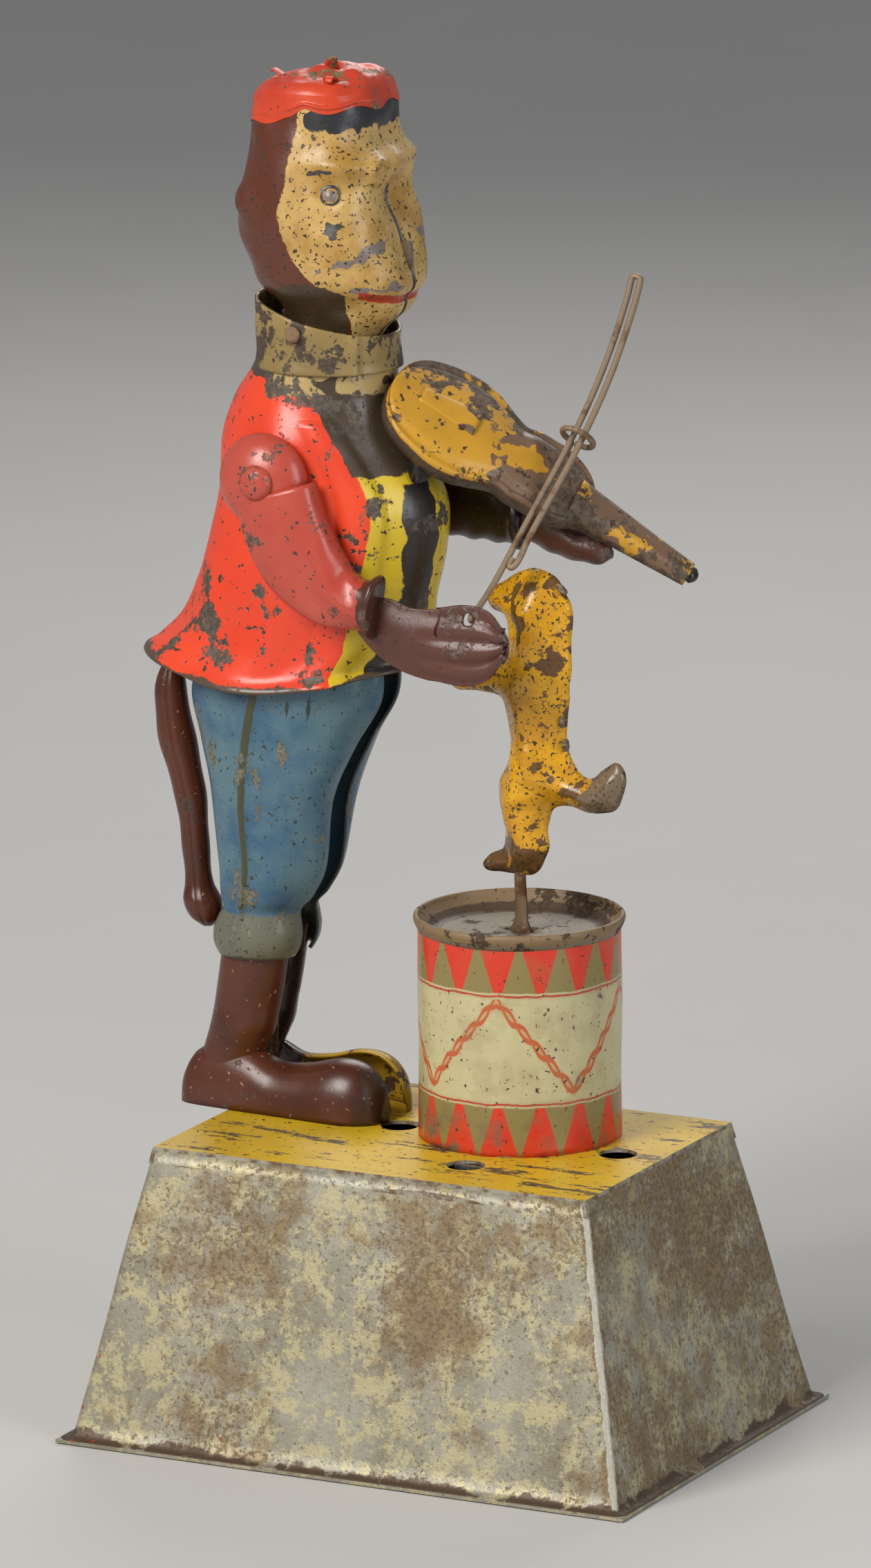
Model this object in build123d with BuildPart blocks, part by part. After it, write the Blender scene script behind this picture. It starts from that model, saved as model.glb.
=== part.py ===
from build123d import *
import os
from math import cos, pi, radians, sin

# Clockwork tin monkey that plays a violin beside a hopping dog.
# Millimetres. Origin: middle of the base's underside. +X runs from the monkey to the dog, +Z up.
# The figures' seam plane lies at Y = figure_y. The winding key is at the back (+Y).

os.makedirs("parts", exist_ok=True)

# ---------------------------------------------------------------- driving dimensions
sheet = 0.5                  # thickness of the tinplate
fit = 0.06                   # running clearance on a radius
slide_gap = 0.35             # clearance round a sliding strip or wire
side_gap = 0.4               # free space between moving flat pieces

base_length_foot = 88.5
base_depth_foot = 67.4
base_length_top = 68.7
base_depth_top = 47.8
base_height = 43.2
foot_flange = 1.5
top_lip = 2.4                # folded edge of the top plate
vent_radius = 2.8
vent_places = ((10.8, -14.3), (27.8, 0.9), (-8.0, 1.7))

figure_y = 6.0               # seam plane of monkey and dog
drum_x = 9.5
drum_radius = 14.8
drum_height = 33.0
rim_radius = 0.65            # rolled bead of the drum head
head_dish = 2.2              # depth of the dished drum head

# movement: plates stand across Y, arbors run along Y
plate_thickness = 1.0
front_plate_y = -13.0
rear_plate_y = 14.0
frame_left = -32.5
frame_right = 30.5
frame_foot = 3.0
pillar_radius = 1.5
pillar_places = ((-28.5, 5.5), (28.0, 5.0), (28.5, 34.5), (-27.5, 30.0))
shaft_radius = 1.2
pivot_radius = 0.8
wheel_thickness = 0.8

great_x = 12.0
great_z = 18.0
great_teeth = 48
great_module = 0.6
second_pinion_teeth = 10
second_teeth = 40
second_module = 0.5
crank_pinion_teeth = 8
crank_teeth = 36
fly_module = 0.4
fly_pinion_teeth = 8
second_direction = 165       # from the great arbor, degrees above +X
crank_direction = 190        # from the second arbor
fly_direction = 230          # from the crank arbor

winding_radius = 2.0
ratchet_teeth = 14
ratchet_radius = 6.0
spring_turns = 5
spring_pitch = 1.7
spring_width = 10.0
spring_strip = 0.6

key_reach = 10.0             # key's bow starts this far behind the rear wall's foot line
key_span = 22.0
key_loop_radius = 5.2
key_loop_hole = 3.0
key_thickness = 1.0
key_socket = 6.0             # length of the key's tube over the arbor
key_tube_wall = 0.8

# rocking beam: lifts the drive rod at one end and the dog at the other
rocker_x = -17.0
rocker_z = 36.0
beam_thickness = 1.0
beam_height = 2.6
eccentric_radius = 3.0

# monkey
shoulder_x = -23.5
shoulder_z = 140.6
shoulder_radius = 1.2
arm_swing = 6.0              # degrees each way
arm_lever = 8.0              # shoulder shaft to drive rod
nod_lever = 3.4              # shoulder shaft to nod wire
lever_thickness = 0.8
nod_pin_x = -20.9
nod_pin_z = 160.7
nod_pin_radius = 0.7
rod_radius = 0.6
hook_gap = 0.3               # play of a wire hook in its hole, on the radius
collar_radius = 10.5
leg_gap = 5.0                # dark gap between the two leg pressings
cap_tilt = 16.0              # front of the cap raised

# violin: tail under the chin, neck pointing forward and down
violin_tail = (-7.8, 4.0, 152.7)
violin_yaw = 24.0
violin_pitch = 33.0
violin_roll = 34.0
violin_length = 50.0
violin_body_length = 29.0
violin_depth = 3.6
guide_place = (14.6, 13.8, 145.4)
guide_radius = 2.5
guide_wire = 0.45

# bow: one wire bent double
bow_wire = 0.45
bow_gap = 0.7                # between the two wires
bow_hole = (9.2, -7.0, 122.3)
bow_length = 60.0

dog_turn = -10.0             # dog's back turned slightly to the front
dog_half_depth = 4.2
strip_width = 4.4
strip_thickness = 0.7

# ---------------------------------------------------------------- worked-out places
second_distance = (great_teeth + second_pinion_teeth) * great_module / 2
second_x = great_x + second_distance * cos(radians(second_direction))
second_z = great_z + second_distance * sin(radians(second_direction))
crank_distance = (second_teeth + crank_pinion_teeth) * second_module / 2
crank_x = second_x + crank_distance * cos(radians(crank_direction))
crank_z = second_z + crank_distance * sin(radians(crank_direction))
fly_distance = (crank_teeth + fly_pinion_teeth) * fly_module / 2
fly_x = crank_x + fly_distance * cos(radians(fly_direction))
fly_z = crank_z + fly_distance * sin(radians(fly_direction))
rod_x = shoulder_x - arm_lever
rod_travel = arm_lever * sin(radians(arm_swing))
crank_throw = (rocker_z - crank_z) * rod_travel / (rocker_x - rod_x)
rod_y = figure_y + beam_thickness / 2 + side_gap + rod_radius
nod_x = shoulder_x - nod_lever
drum_top = base_height + drum_height
front_inner = front_plate_y + plate_thickness

# stations along Y, from the front plate back
great_y = 2.2
ratchet_y = great_y + wheel_thickness + 0.1
beam_y = figure_y - beam_thickness / 2
eccentric_y = beam_y + beam_thickness + 0.2
second_y = 9.4
crank_wheel_y = 11.8


# ---------------------------------------------------------------- shared shapes
def facing(y, x=0.0, z=0.0):
    """Upright drawing plane at depth y, seen from the front: local x is +X, local y is +Z."""
    return Plane(origin=(x, y, z), x_dir=(1, 0, 0), z_dir=(0, -1, 0))


def disc(x, z, radius, y_front, y_rear, mode=Mode.ADD):
    """Round bar along Y, inside the current part."""
    with BuildSketch(facing(y_rear, x, z)) as end_face:
        Circle(radius)
    extrude(end_face.sketch, amount=y_rear - y_front, mode=mode)


def frustum(low_size, low_z, high_size, high_z, mode=Mode.ADD):
    """Four-sided tapered block round the Z axis, inside the current part."""
    with BuildSketch(Plane.XY.offset(low_z)) as low:
        Rectangle(*low_size)
    with BuildSketch(Plane.XY.offset(high_z)) as high:
        Rectangle(*high_size)
    loft((low.sketch, high.sketch), ruled=True, mode=mode)


def wall_size(z, grow=0.0):
    """Outer length and depth of the base's side wall at height z, larger all round by grow."""
    share = z / base_height
    length = base_length_foot + (base_length_top - base_length_foot) * share
    depth = base_depth_foot + (base_depth_top - base_depth_foot) * share
    return length + 2 * grow, depth + 2 * grow


def rear_wall_y(z):
    """Outer face of the rear wall at height z."""
    return wall_size(z)[1] / 2


def tooth_outline(teeth, module, phase, tip_share=0.1, root_share=0.24):
    """Corners of a straight-flanked wheel with one tooth centred on the phase angle."""
    pitch_radius = teeth * module / 2
    root = pitch_radius - 1.15 * module
    tip = pitch_radius + 0.8 * module
    corners = []
    for tooth in range(teeth):
        for share, radius in ((-root_share, root), (-tip_share, tip), (tip_share, tip), (root_share, root)):
            angle = radians(phase + (tooth + share) * 360 / teeth)
            corners.append((radius * cos(angle), radius * sin(angle)))
    return corners


def toothed_disc(x, z, teeth, module, phase, y_front, y_rear):
    """Spur wheel or pinion blank along Y, inside the current part."""
    with BuildSketch(facing(y_rear, x, z)) as blank:
        with BuildLine():
            Polyline(*tooth_outline(teeth, module, phase), close=True)
        make_face()
    extrude(blank.sketch, amount=y_rear - y_front)


def train_wheel(x, z, teeth, module, phase, y_front, bore, spokes=5):
    """Pressed brass wheel with round windows, bored for its arbor."""
    y_rear = y_front + wheel_thickness
    rim = teeth * module / 2 - 1.15 * module
    window = (rim - bore) * 0.27
    with BuildPart() as wheel:
        toothed_disc(x, z, teeth, module, phase, y_front, y_rear)
        with BuildSketch(facing(y_rear, x, z)):
            Circle(bore)
            with PolarLocations((rim + bore) / 2, spokes):
                Circle(window)
        extrude(amount=wheel_thickness, mode=Mode.SUBTRACT)
    return wheel


def arbor(x, z, pinion=None):
    """Arbor between the plates with a thin pivot at each end and, if given, a pinion cut on it."""
    with BuildPart() as bar:
        disc(x, z, pivot_radius, front_plate_y - side_gap, rear_plate_y + plate_thickness + side_gap)
        disc(x, z, shaft_radius, front_inner + side_gap, rear_plate_y - side_gap)
        if pinion:
            teeth, module, phase, y_front, y_rear = pinion
            toothed_disc(x, z, teeth, module, phase, y_front, y_rear)
    return bar


def save(piece, name):
    """Labels a finished piece and writes it out under its own name."""
    piece.part.label = name
    export_step(piece.part, f"parts/{name}.step")


# ---------------------------------------------------------------- base box
with BuildPart() as base_bottom_plate:
    with BuildSketch():
        Rectangle(base_length_foot + 2 * foot_flange, base_depth_foot + 2 * foot_flange)
    extrude(amount=sheet)
save(base_bottom_plate, "base_bottom_plate")

wall_top = base_height - sheet
key_hole_radius = winding_radius + 1.0
with BuildPart() as base_side_wall:
    frustum(wall_size(sheet), sheet, wall_size(wall_top), wall_top)
    with BuildSketch(Plane.XY.offset(sheet)):
        Rectangle(base_length_foot + 2 * foot_flange, base_depth_foot + 2 * foot_flange)
    extrude(amount=sheet)
    frustum(wall_size(sheet, -sheet), sheet, wall_size(wall_top, -sheet), wall_top, mode=Mode.SUBTRACT)
    disc(great_x, great_z, key_hole_radius, rear_plate_y, base_depth_foot, mode=Mode.SUBTRACT)
save(base_side_wall, "base_side_wall")

with BuildPart() as base_top_plate:
    lip_z = base_height - top_lip
    frustum(wall_size(lip_z, sheet), lip_z, wall_size(base_height, sheet), base_height)
    frustum(wall_size(lip_z), lip_z, wall_size(wall_top), wall_top, mode=Mode.SUBTRACT)
    with BuildSketch(Plane.XY.offset(base_height)):
        with Locations(*vent_places):
            Circle(vent_radius)
        with Locations((rod_x, rod_y)):
            Circle(rod_radius + slide_gap)
        with Locations((drum_x, figure_y)):
            Rectangle(strip_width + 2 * slide_gap, strip_thickness + 2 * slide_gap, rotation=dog_turn)
    extrude(amount=-2 * sheet, mode=Mode.SUBTRACT)
save(base_top_plate, "base_top_plate")

# ---------------------------------------------------------------- movement frame
bearing_places = ((second_x, second_z), (crank_x, crank_z), (fly_x, fly_z))


def frame_plate(y_front):
    """One movement plate, hung from the underside of the top plate, with its bearing holes."""
    y_rear = y_front + plate_thickness
    with BuildPart() as plate:
        with BuildSketch(facing(y_rear)):
            with BuildLine():
                Polyline((frame_left, frame_foot), (frame_right, frame_foot), (frame_right, wall_top),
                         (frame_left, wall_top), close=True)
            make_face()
            with Locations((great_x, great_z)):
                Circle(winding_radius + fit, mode=Mode.SUBTRACT)
            with Locations(*bearing_places):
                Circle(pivot_radius + fit, mode=Mode.SUBTRACT)
        extrude(amount=plate_thickness)
    return plate


save(frame_plate(front_plate_y), "front_movement_plate")
save(frame_plate(rear_plate_y), "rear_movement_plate")

with BuildPart() as frame_pillars:
    for pillar_x, pillar_z in pillar_places:
        disc(pillar_x, pillar_z, pillar_radius, front_inner, rear_plate_y)
save(frame_pillars, "frame_pillars")

# ---------------------------------------------------------------- winding: arbor, key, ratchet, spring
spring_front = front_inner + 1.0
spring_rear = spring_front + spring_width
key_shank_y = rear_wall_y(0) + 1.0
key_bow_y = rear_wall_y(0) + key_reach

with BuildPart() as winding_arbor:
    disc(great_x, great_z, winding_radius, front_plate_y - side_gap, key_shank_y)
save(winding_arbor, "winding_arbor")

with BuildPart() as winding_key:
    disc(great_x, great_z, winding_radius + key_tube_wall, key_shank_y - key_socket, key_bow_y)
    disc(great_x, great_z, winding_radius, key_shank_y - key_socket, key_shank_y, mode=Mode.SUBTRACT)
    with BuildSketch(Plane(origin=(great_x, key_bow_y, great_z - key_thickness / 2), x_dir=(1, 0, 0),
                           z_dir=(0, 0, 1))):
        Rectangle(4.0, 2 * key_loop_hole)
        for side in (-1, 1):
            with Locations((side * (key_span / 2 - key_loop_radius), key_loop_hole)):
                Circle(key_loop_radius)
        for side in (-1, 1):
            with Locations((side * (key_span / 2 - key_loop_radius), key_loop_hole)):
                Circle(key_loop_hole, mode=Mode.SUBTRACT)
    extrude(amount=key_thickness)
save(winding_key, "winding_key")

with BuildPart() as ratchet_wheel:
    with BuildSketch(facing(ratchet_y + wheel_thickness, great_x, great_z)):
        with BuildLine():
            ratchet_points = []
            for tooth in range(ratchet_teeth):
                start = radians(tooth * 360 / ratchet_teeth)
                ratchet_points.append((ratchet_radius * cos(start), ratchet_radius * sin(start)))
                ratchet_points.append(((ratchet_radius - 1.2) * cos(start),
                                       (ratchet_radius - 1.2) * sin(start)))
            Polyline(*ratchet_points, close=True)
        make_face()
        Circle(winding_radius, mode=Mode.SUBTRACT)
    extrude(amount=wheel_thickness)
save(ratchet_wheel, "ratchet_wheel")

with BuildPart() as mainspring:
    inner_radius = winding_radius + 0.9
    steps = 20 * spring_turns
    inner_edge = []
    outer_edge = []
    for step in range(steps + 1):
        turn = spring_turns * step / steps
        angle = radians(300) - 2 * pi * (spring_turns - turn)
        radius = inner_radius + spring_pitch * turn
        inner_edge.append((radius * cos(angle), radius * sin(angle)))
        outer_edge.append(((radius + spring_strip) * cos(angle), (radius + spring_strip) * sin(angle)))
    with BuildSketch(facing(spring_rear, great_x, great_z)):
        with BuildLine():
            Polyline(*inner_edge, *reversed(outer_edge), close=True)
        make_face()
    extrude(amount=spring_width)
save(mainspring, "mainspring")

# ---------------------------------------------------------------- gear train
great_phase = second_direction
second_pinion_phase = second_direction + 180 + 180 / second_pinion_teeth
second_phase = crank_direction
crank_pinion_phase = crank_direction + 180 + 180 / crank_pinion_teeth
crank_phase = fly_direction
fly_pinion_phase = fly_direction + 180 + 180 / fly_pinion_teeth

great_wheel = train_wheel(great_x, great_z, great_teeth, great_module, great_phase, great_y,
                          winding_radius + fit, spokes=5)
save(great_wheel, "great_wheel")

# click: rides on the great wheel, its nose rests just clear of the ratchet teeth
click_angle = 60
click_radius = 9.0
click_x = great_x + click_radius * cos(radians(click_angle))
click_z = great_z + click_radius * sin(radians(click_angle))
click_rivet_radius = 0.6
with BuildPart() as click_rivet:
    disc(click_x, click_z, click_rivet_radius, great_y + wheel_thickness, ratchet_y + wheel_thickness + 0.5)
    disc(click_x, click_z, 1.1, ratchet_y + wheel_thickness + 0.1, ratchet_y + wheel_thickness + 0.5)
save(click_rivet, "click_rivet")

with BuildPart() as click:
    with BuildSketch(facing(ratchet_y + wheel_thickness, click_x, click_z)):
        Circle(1.5)
        with BuildLine():
            Polyline((-1.2, 0.9), (-5.2, -0.1), (-4.6, -1.3), (-0.6, -1.2), close=True)
        make_face()
        Circle(click_rivet_radius + fit, mode=Mode.SUBTRACT)
    extrude(amount=wheel_thickness)
save(click, "click")

with BuildPart() as click_spring:
    with BuildSketch(facing(ratchet_y + wheel_thickness, click_x, click_z)):
        with BuildLine():
            Polyline((-6.6, 2.4), (-0.6, 3.2), (1.4, 2.9), (1.4, 3.3), (-0.6, 3.6), (-6.8, 2.8), close=True)
        make_face()
        with Locations((1.8, 2.9)):
            Circle(0.8)
    extrude(amount=ratchet_y + wheel_thickness - great_y - wheel_thickness)
save(click_spring, "click_spring")

second_arbor = arbor(second_x, second_z, (second_pinion_teeth, great_module, second_pinion_phase,
                                          great_y - 0.8, great_y + wheel_thickness + 0.8))
save(second_arbor, "second_arbor")
second_wheel = train_wheel(second_x, second_z, second_teeth, second_module, second_phase, second_y,
                           shaft_radius)
save(second_wheel, "second_wheel")

crank_arbor = arbor(crank_x, crank_z, (crank_pinion_teeth, second_module, crank_pinion_phase,
                                       second_y - 0.6, second_y + wheel_thickness + 0.6))
save(crank_arbor, "crank_arbor")
crank_wheel = train_wheel(crank_x, crank_z, crank_teeth, fly_module, crank_phase, crank_wheel_y,
                          shaft_radius)
save(crank_wheel, "crank_wheel")

# the eccentric lies just behind the beam's yoke: the pivot where the closed linkage is opened
with BuildPart() as eccentric:
    disc(crank_x, crank_z - crank_throw, eccentric_radius, eccentric_y, eccentric_y + wheel_thickness)
    disc(crank_x, crank_z, shaft_radius, eccentric_y, eccentric_y + wheel_thickness, mode=Mode.SUBTRACT)
save(eccentric, "eccentric")

fly_arbor = arbor(fly_x, fly_z, (fly_pinion_teeth, fly_module, fly_pinion_phase,
                                 crank_wheel_y - 0.5, rear_plate_y - side_gap))
save(fly_arbor, "fly_arbor")

vane_reach = 5.6
vane_front = front_inner + 3.0
vane_rear = beam_y - 1.0
with BuildPart() as fly_vanes:
    with BuildSketch(facing(vane_rear, fly_x, fly_z)):
        Circle(shaft_radius + 0.5)
        Rectangle(2 * vane_reach, 0.5)
        Circle(shaft_radius, mode=Mode.SUBTRACT)
    extrude(amount=vane_rear - vane_front)
save(fly_vanes, "fly_vanes")

# ---------------------------------------------------------------- rocking beam and drive rod
stud_radius = 0.9
yoke_half = eccentric_radius + fit
yoke_wall = 1.6
with BuildPart() as rocker_stud:
    disc(rocker_x, rocker_z, stud_radius, front_inner, rear_plate_y)
save(rocker_stud, "rocker_stud")

with BuildPart() as rocker_beam:
    beam_left = rod_x - 1.8
    beam_right = drum_x + 1.8
    yoke_low = crank_z - yoke_half - crank_throw - yoke_wall
    with BuildSketch(facing(beam_y + beam_thickness)):
        with BuildLine():
            Polyline((beam_left, rocker_z - beam_height / 2), (beam_right, rocker_z - beam_height / 2),
                     (beam_right, rocker_z + beam_height / 2), (beam_left, rocker_z + beam_height / 2),
                     close=True)
        make_face()
        with BuildLine():
            Polyline((rocker_x - 2, rocker_z), (rocker_x + 2, rocker_z),
                     (crank_x + yoke_half + yoke_wall, crank_z + yoke_half),
                     (crank_x + yoke_half + yoke_wall, yoke_low),
                     (crank_x - yoke_half - yoke_wall, yoke_low),
                     (crank_x - yoke_half - yoke_wall, crank_z + yoke_half),
                     close=True)
        make_face()
        with Locations((rocker_x, rocker_z)):
            Circle(2.2)
            Circle(stud_radius + fit, mode=Mode.SUBTRACT)
        with Locations((crank_x, crank_z)):
            SlotOverall(2 * (yoke_half + crank_throw), 2 * yoke_half, rotation=90, mode=Mode.SUBTRACT)
        with Locations((rod_x, rocker_z)):
            Circle(rod_radius + hook_gap, mode=Mode.SUBTRACT)
    extrude(amount=beam_thickness)
save(rocker_beam, "rocker_beam")


def bent_wire(plane, corners, bend, radius):
    """Round wire along straight runs joined by equal bends."""
    with BuildPart() as wire:
        with BuildLine(plane) as route:
            FilletPolyline(*corners, radius=bend)
        with BuildSketch(Plane(origin=route.line @ 0, z_dir=route.line % 0)) as end_face:
            Circle(radius)
        sweep(end_face.sketch, path=route.line)
    return wire


def upright_across(x):
    """Upright plane across the toy at x: local x is +Y, local y is +Z."""
    return Plane(origin=(x, 0, 0), x_dir=(0, 1, 0), z_dir=(1, 0, 0))


hook_tip = beam_y - 0.5
drive_rod = bent_wire(upright_across(rod_x), ((hook_tip, rocker_z), (rod_y, rocker_z), (rod_y, shoulder_z),
                                              (hook_tip, shoulder_z)), 1.0, rod_radius)
save(drive_rod, "drive_rod")

# ---------------------------------------------------------------- drum
with BuildPart() as drum_shell:
    disc_top = drum_top - 2 * rim_radius
    with BuildSketch(Plane.XY.offset(base_height)) as wall_ring:
        with Locations((drum_x, figure_y)):
            Circle(drum_radius)
            Circle(drum_radius - sheet, mode=Mode.SUBTRACT)
    extrude(amount=disc_top - base_height)
save(drum_shell, "drum_shell")

with BuildPart() as drum_head:
    with BuildSketch(facing(figure_y, drum_x)):
        with BuildLine():
            Polyline((0, disc_top - head_dish), (drum_radius - 2.5, disc_top - head_dish),
                     (drum_radius - sheet, disc_top), (drum_radius - sheet, disc_top + sheet),
                     (drum_radius - 2.7, disc_top - head_dish + sheet), (0, disc_top - head_dish + sheet),
                     close=True)
        make_face()
        with Locations((drum_radius - rim_radius + 0.3, disc_top + rim_radius)):
            Circle(rim_radius)
    revolve(axis=Axis((drum_x, figure_y, 0), (0, 0, 1)))
    with BuildSketch(Plane((drum_x, figure_y, disc_top))):
        Rectangle(strip_width + 2 * slide_gap, strip_thickness + 2 * slide_gap, rotation=dog_turn)
    extrude(amount=-2 * head_dish, mode=Mode.SUBTRACT)
save(drum_head, "drum_head")

# ---------------------------------------------------------------- dog on its strip
dog_plane = Plane(origin=(drum_x, figure_y, 0), x_dir=Vector(1, 0, 0).rotate(Axis.Z, dog_turn),
                  z_dir=Vector(0, -1, 0).rotate(Axis.Z, dog_turn))
dog_outline = ((-5.4, 122.6), (-2.0, 125.2), (2.6, 127.2), (6.8, 126.4), (9.4, 122.0), (9.4, 111.0),
               (8.8, 103.0),
               (9.6, 98.6), (12.6, 97.0), (15.4, 98.6), (18.2, 99.2), (18.8, 96.2), (16.4, 92.9),
               (11.4, 92.9),
               (7.0, 93.6), (5.2, 90.6), (5.0, 86.0), (2.8, 82.6), (-2.0, 81.8), (-6.4, 81.6), (-6.6, 83.2),
               (-3.4, 84.8), (-2.4, 88.4), (-3.4, 93.0), (-2.2, 97.4), (-1.6, 103.2), (-3.4, 108.2),
               (-7.6, 108.2),
               (-12.2, 108.6), (-12.2, 110.6), (-7.6, 111.8), (-2.6, 113.4), (-1.6, 119.2), (-4.6, 120.8))


def smooth_face(plane, outline, inset=0.0, corner=0.9):
    """Face inside a closed outline with rounded corners, drawn in all round by the inset."""
    with BuildSketch(plane) as face:
        with BuildLine():
            Polyline(*outline, close=True)
        make_face()
        if inset < corner:
            fillet(face.vertices(), corner)
        if inset:
            offset(amount=-inset)
    return face.sketch


def pressed_half(plane, outline, depth, wall, crown=1.2):
    """One pressed half: full outline at the seam, a smaller raised crown outside, hollow at the seam."""
    step = depth * 0.6
    with BuildPart() as half:
        extrude(smooth_face(plane, outline), amount=step)
        extrude(smooth_face(plane.offset(step), outline, crown), amount=depth - step)
        extrude(smooth_face(plane, outline, wall), amount=step - wall, mode=Mode.SUBTRACT)
    return half


strip_half = strip_thickness / 2
dog_right_half = pressed_half(dog_plane.offset(strip_half), dog_outline, dog_half_depth, sheet)
save(dog_right_half, "dog_right_half")
with BuildPart() as dog_left_half:
    mirror(dog_right_half.part, about=dog_plane)
save(dog_left_half, "dog_left_half")

strip_foot_z = rocker_z + beam_height / 2 + 2.2
strip_head_z = 104.0
with BuildPart() as dog_strip:
    with BuildSketch(Plane((drum_x, figure_y, strip_foot_z))):
        Rectangle(strip_width, strip_thickness, rotation=dog_turn)
    extrude(amount=strip_head_z - strip_foot_z)
save(dog_strip, "dog_strip")

# ---------------------------------------------------------------- monkey: pressed shells
seam = facing(figure_y)
body_half_width = 13.0


def ellipse_block(sections, inset=0.0):
    """Smooth block through level ellipses: height, centre x, centre y, half lengths in x and y."""
    faces = []
    for height, centre_x, centre_y, half_x, half_y in sections:
        with BuildSketch(Plane((centre_x, centre_y, height))) as level:
            Ellipse(half_x - inset, half_y - inset)
        faces.append(level.sketch)
    return loft(faces, mode=Mode.PRIVATE)


def keep_side(front):
    """Cuts the current part at the seam plane and keeps its front or its back."""
    split(bisect_by=seam, keep=Keep.TOP if front else Keep.BOTTOM)


hem_z = 108.0
neck_z = 155.5
body_sections = ((hem_z, -27.4, figure_y, 19.4, body_half_width + 0.6),
                 (114.0, -24.6, figure_y, 19.5, body_half_width),
                 (121.0, -22.8, figure_y, 18.8, body_half_width),
                 (129.0, -20.8, figure_y, 18.5, body_half_width),
                 (136.0, -20.0, figure_y, 17.6, body_half_width),
                 (144.0, -22.0, figure_y, 15.0, body_half_width - 1.0),
                 (150.0, -22.4, figure_y, 12.4, body_half_width - 2.2),
                 (neck_z, nod_pin_x, figure_y, collar_radius, collar_radius))


def body_half(front):
    """One jacket half: open at the neck and the hem, with the hole for the shoulder shaft."""
    with BuildPart() as half:
        add(ellipse_block(body_sections))
        add(ellipse_block(body_sections, sheet), mode=Mode.SUBTRACT)
        disc(shoulder_x, shoulder_z, shoulder_radius + fit, -base_depth_foot, base_depth_foot,
             mode=Mode.SUBTRACT)
        keep_side(front)
    return half


save(body_half(True), "body_right_half")
save(body_half(False), "body_left_half")

collar_top = 162.4
collar_slope = 14.0          # collar's top edge falls towards the chin
with BuildPart() as collar:
    with BuildSketch(Plane((nod_pin_x, figure_y, neck_z))):
        Circle(collar_radius)
        Circle(collar_radius - sheet, mode=Mode.SUBTRACT)
    extrude(amount=collar_top + collar_radius - neck_z)
    split(bisect_by=Plane(origin=(nod_pin_x, figure_y, collar_top), x_dir=(0, 1, 0),
                          z_dir=Vector(0, 0, 1).rotate(Axis.Y, collar_slope)), keep=Keep.BOTTOM)
    disc(nod_pin_x, nod_pin_z, nod_pin_radius, -base_depth_foot, base_depth_foot, mode=Mode.SUBTRACT)
save(collar, "collar")

# ---------------------------------------------------------------- head and cap
head_top = 193.0
head_sections = ((157.0, nod_pin_x, figure_y, 7.6, 7.6),
                 (160.2, nod_pin_x + 0.3, figure_y, 8.4, 8.2),
                 (163.4, -18.4, figure_y, 10.2, 9.0),
                 (167.0, -18.0, figure_y, 11.2, 10.4),
                 (173.0, -19.0, figure_y, 12.2, 11.2),
                 (179.0, -20.4, figure_y, 12.6, 11.4),
                 (184.0, -21.2, figure_y, 11.6, 11.0),
                 (188.0, -21.8, figure_y, 9.5, 9.5),
                 (head_top, -22.3, figure_y, 8.4, 8.4))
for side_name in ("right", "left"):
    with BuildPart() as head_half:
        add(ellipse_block(head_sections))
        add(ellipse_block(head_sections, sheet), mode=Mode.SUBTRACT)
        disc(nod_pin_x, nod_pin_z, nod_pin_radius + fit, -base_depth_foot, base_depth_foot,
             mode=Mode.SUBTRACT)
        keep_side(side_name == "right")
    save(head_half, f"head_{side_name}_half")

pin_reach = collar_radius + 0.5
with BuildPart() as nod_pin:
    disc(nod_pin_x, nod_pin_z, nod_pin_radius, figure_y - pin_reach, figure_y + pin_reach)
    for y_front in (figure_y - pin_reach - 0.5, figure_y + pin_reach):
        disc(nod_pin_x, nod_pin_z, 1.2, y_front, y_front + 0.5)
save(nod_pin, "nod_pin")

# plate soldered across the inside of the head; its tail takes the nod wire
nod_plate_y = beam_y
nod_wire_radius = 0.45
with BuildPart() as nod_plate:
    add(ellipse_block(head_sections, sheet))
    with BuildSketch(facing(nod_plate_y + lever_thickness, -19.0, 171.0)) as slab:
        Rectangle(40, 5)
    extrude(slab.sketch, amount=lever_thickness, mode=Mode.INTERSECT)
    with BuildSketch(facing(nod_plate_y + lever_thickness)) as tail_plate:
        with BuildLine():
            Polyline((nod_x - 1.3, nod_pin_z - 1.3), (nod_pin_x + 1.6, nod_pin_z - 1.6), (-17.0, 169.0),
                     (-23.0, 169.0), (nod_pin_x - 1.8, nod_pin_z + 1.6), (nod_x - 1.3, nod_pin_z + 1.3),
                     close=True)
        make_face()
        with Locations((nod_pin_x, nod_pin_z)):
            Circle(nod_pin_radius + fit, mode=Mode.SUBTRACT)
        with Locations((nod_x, nod_pin_z)):
            Circle(nod_wire_radius + hook_gap, mode=Mode.SUBTRACT)
    extrude(tail_plate.sketch, amount=lever_thickness)
save(nod_plate, "nod_plate")

nod_wire_y = nod_plate_y + lever_thickness + side_gap + nod_wire_radius
nod_wire = bent_wire(upright_across(nod_x), ((hook_tip, shoulder_z), (nod_wire_y, shoulder_z),
                                             (nod_wire_y, nod_pin_z), (hook_tip, nod_pin_z)), 0.8,
                                             nod_wire_radius)
save(nod_wire, "nod_wire")

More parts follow.
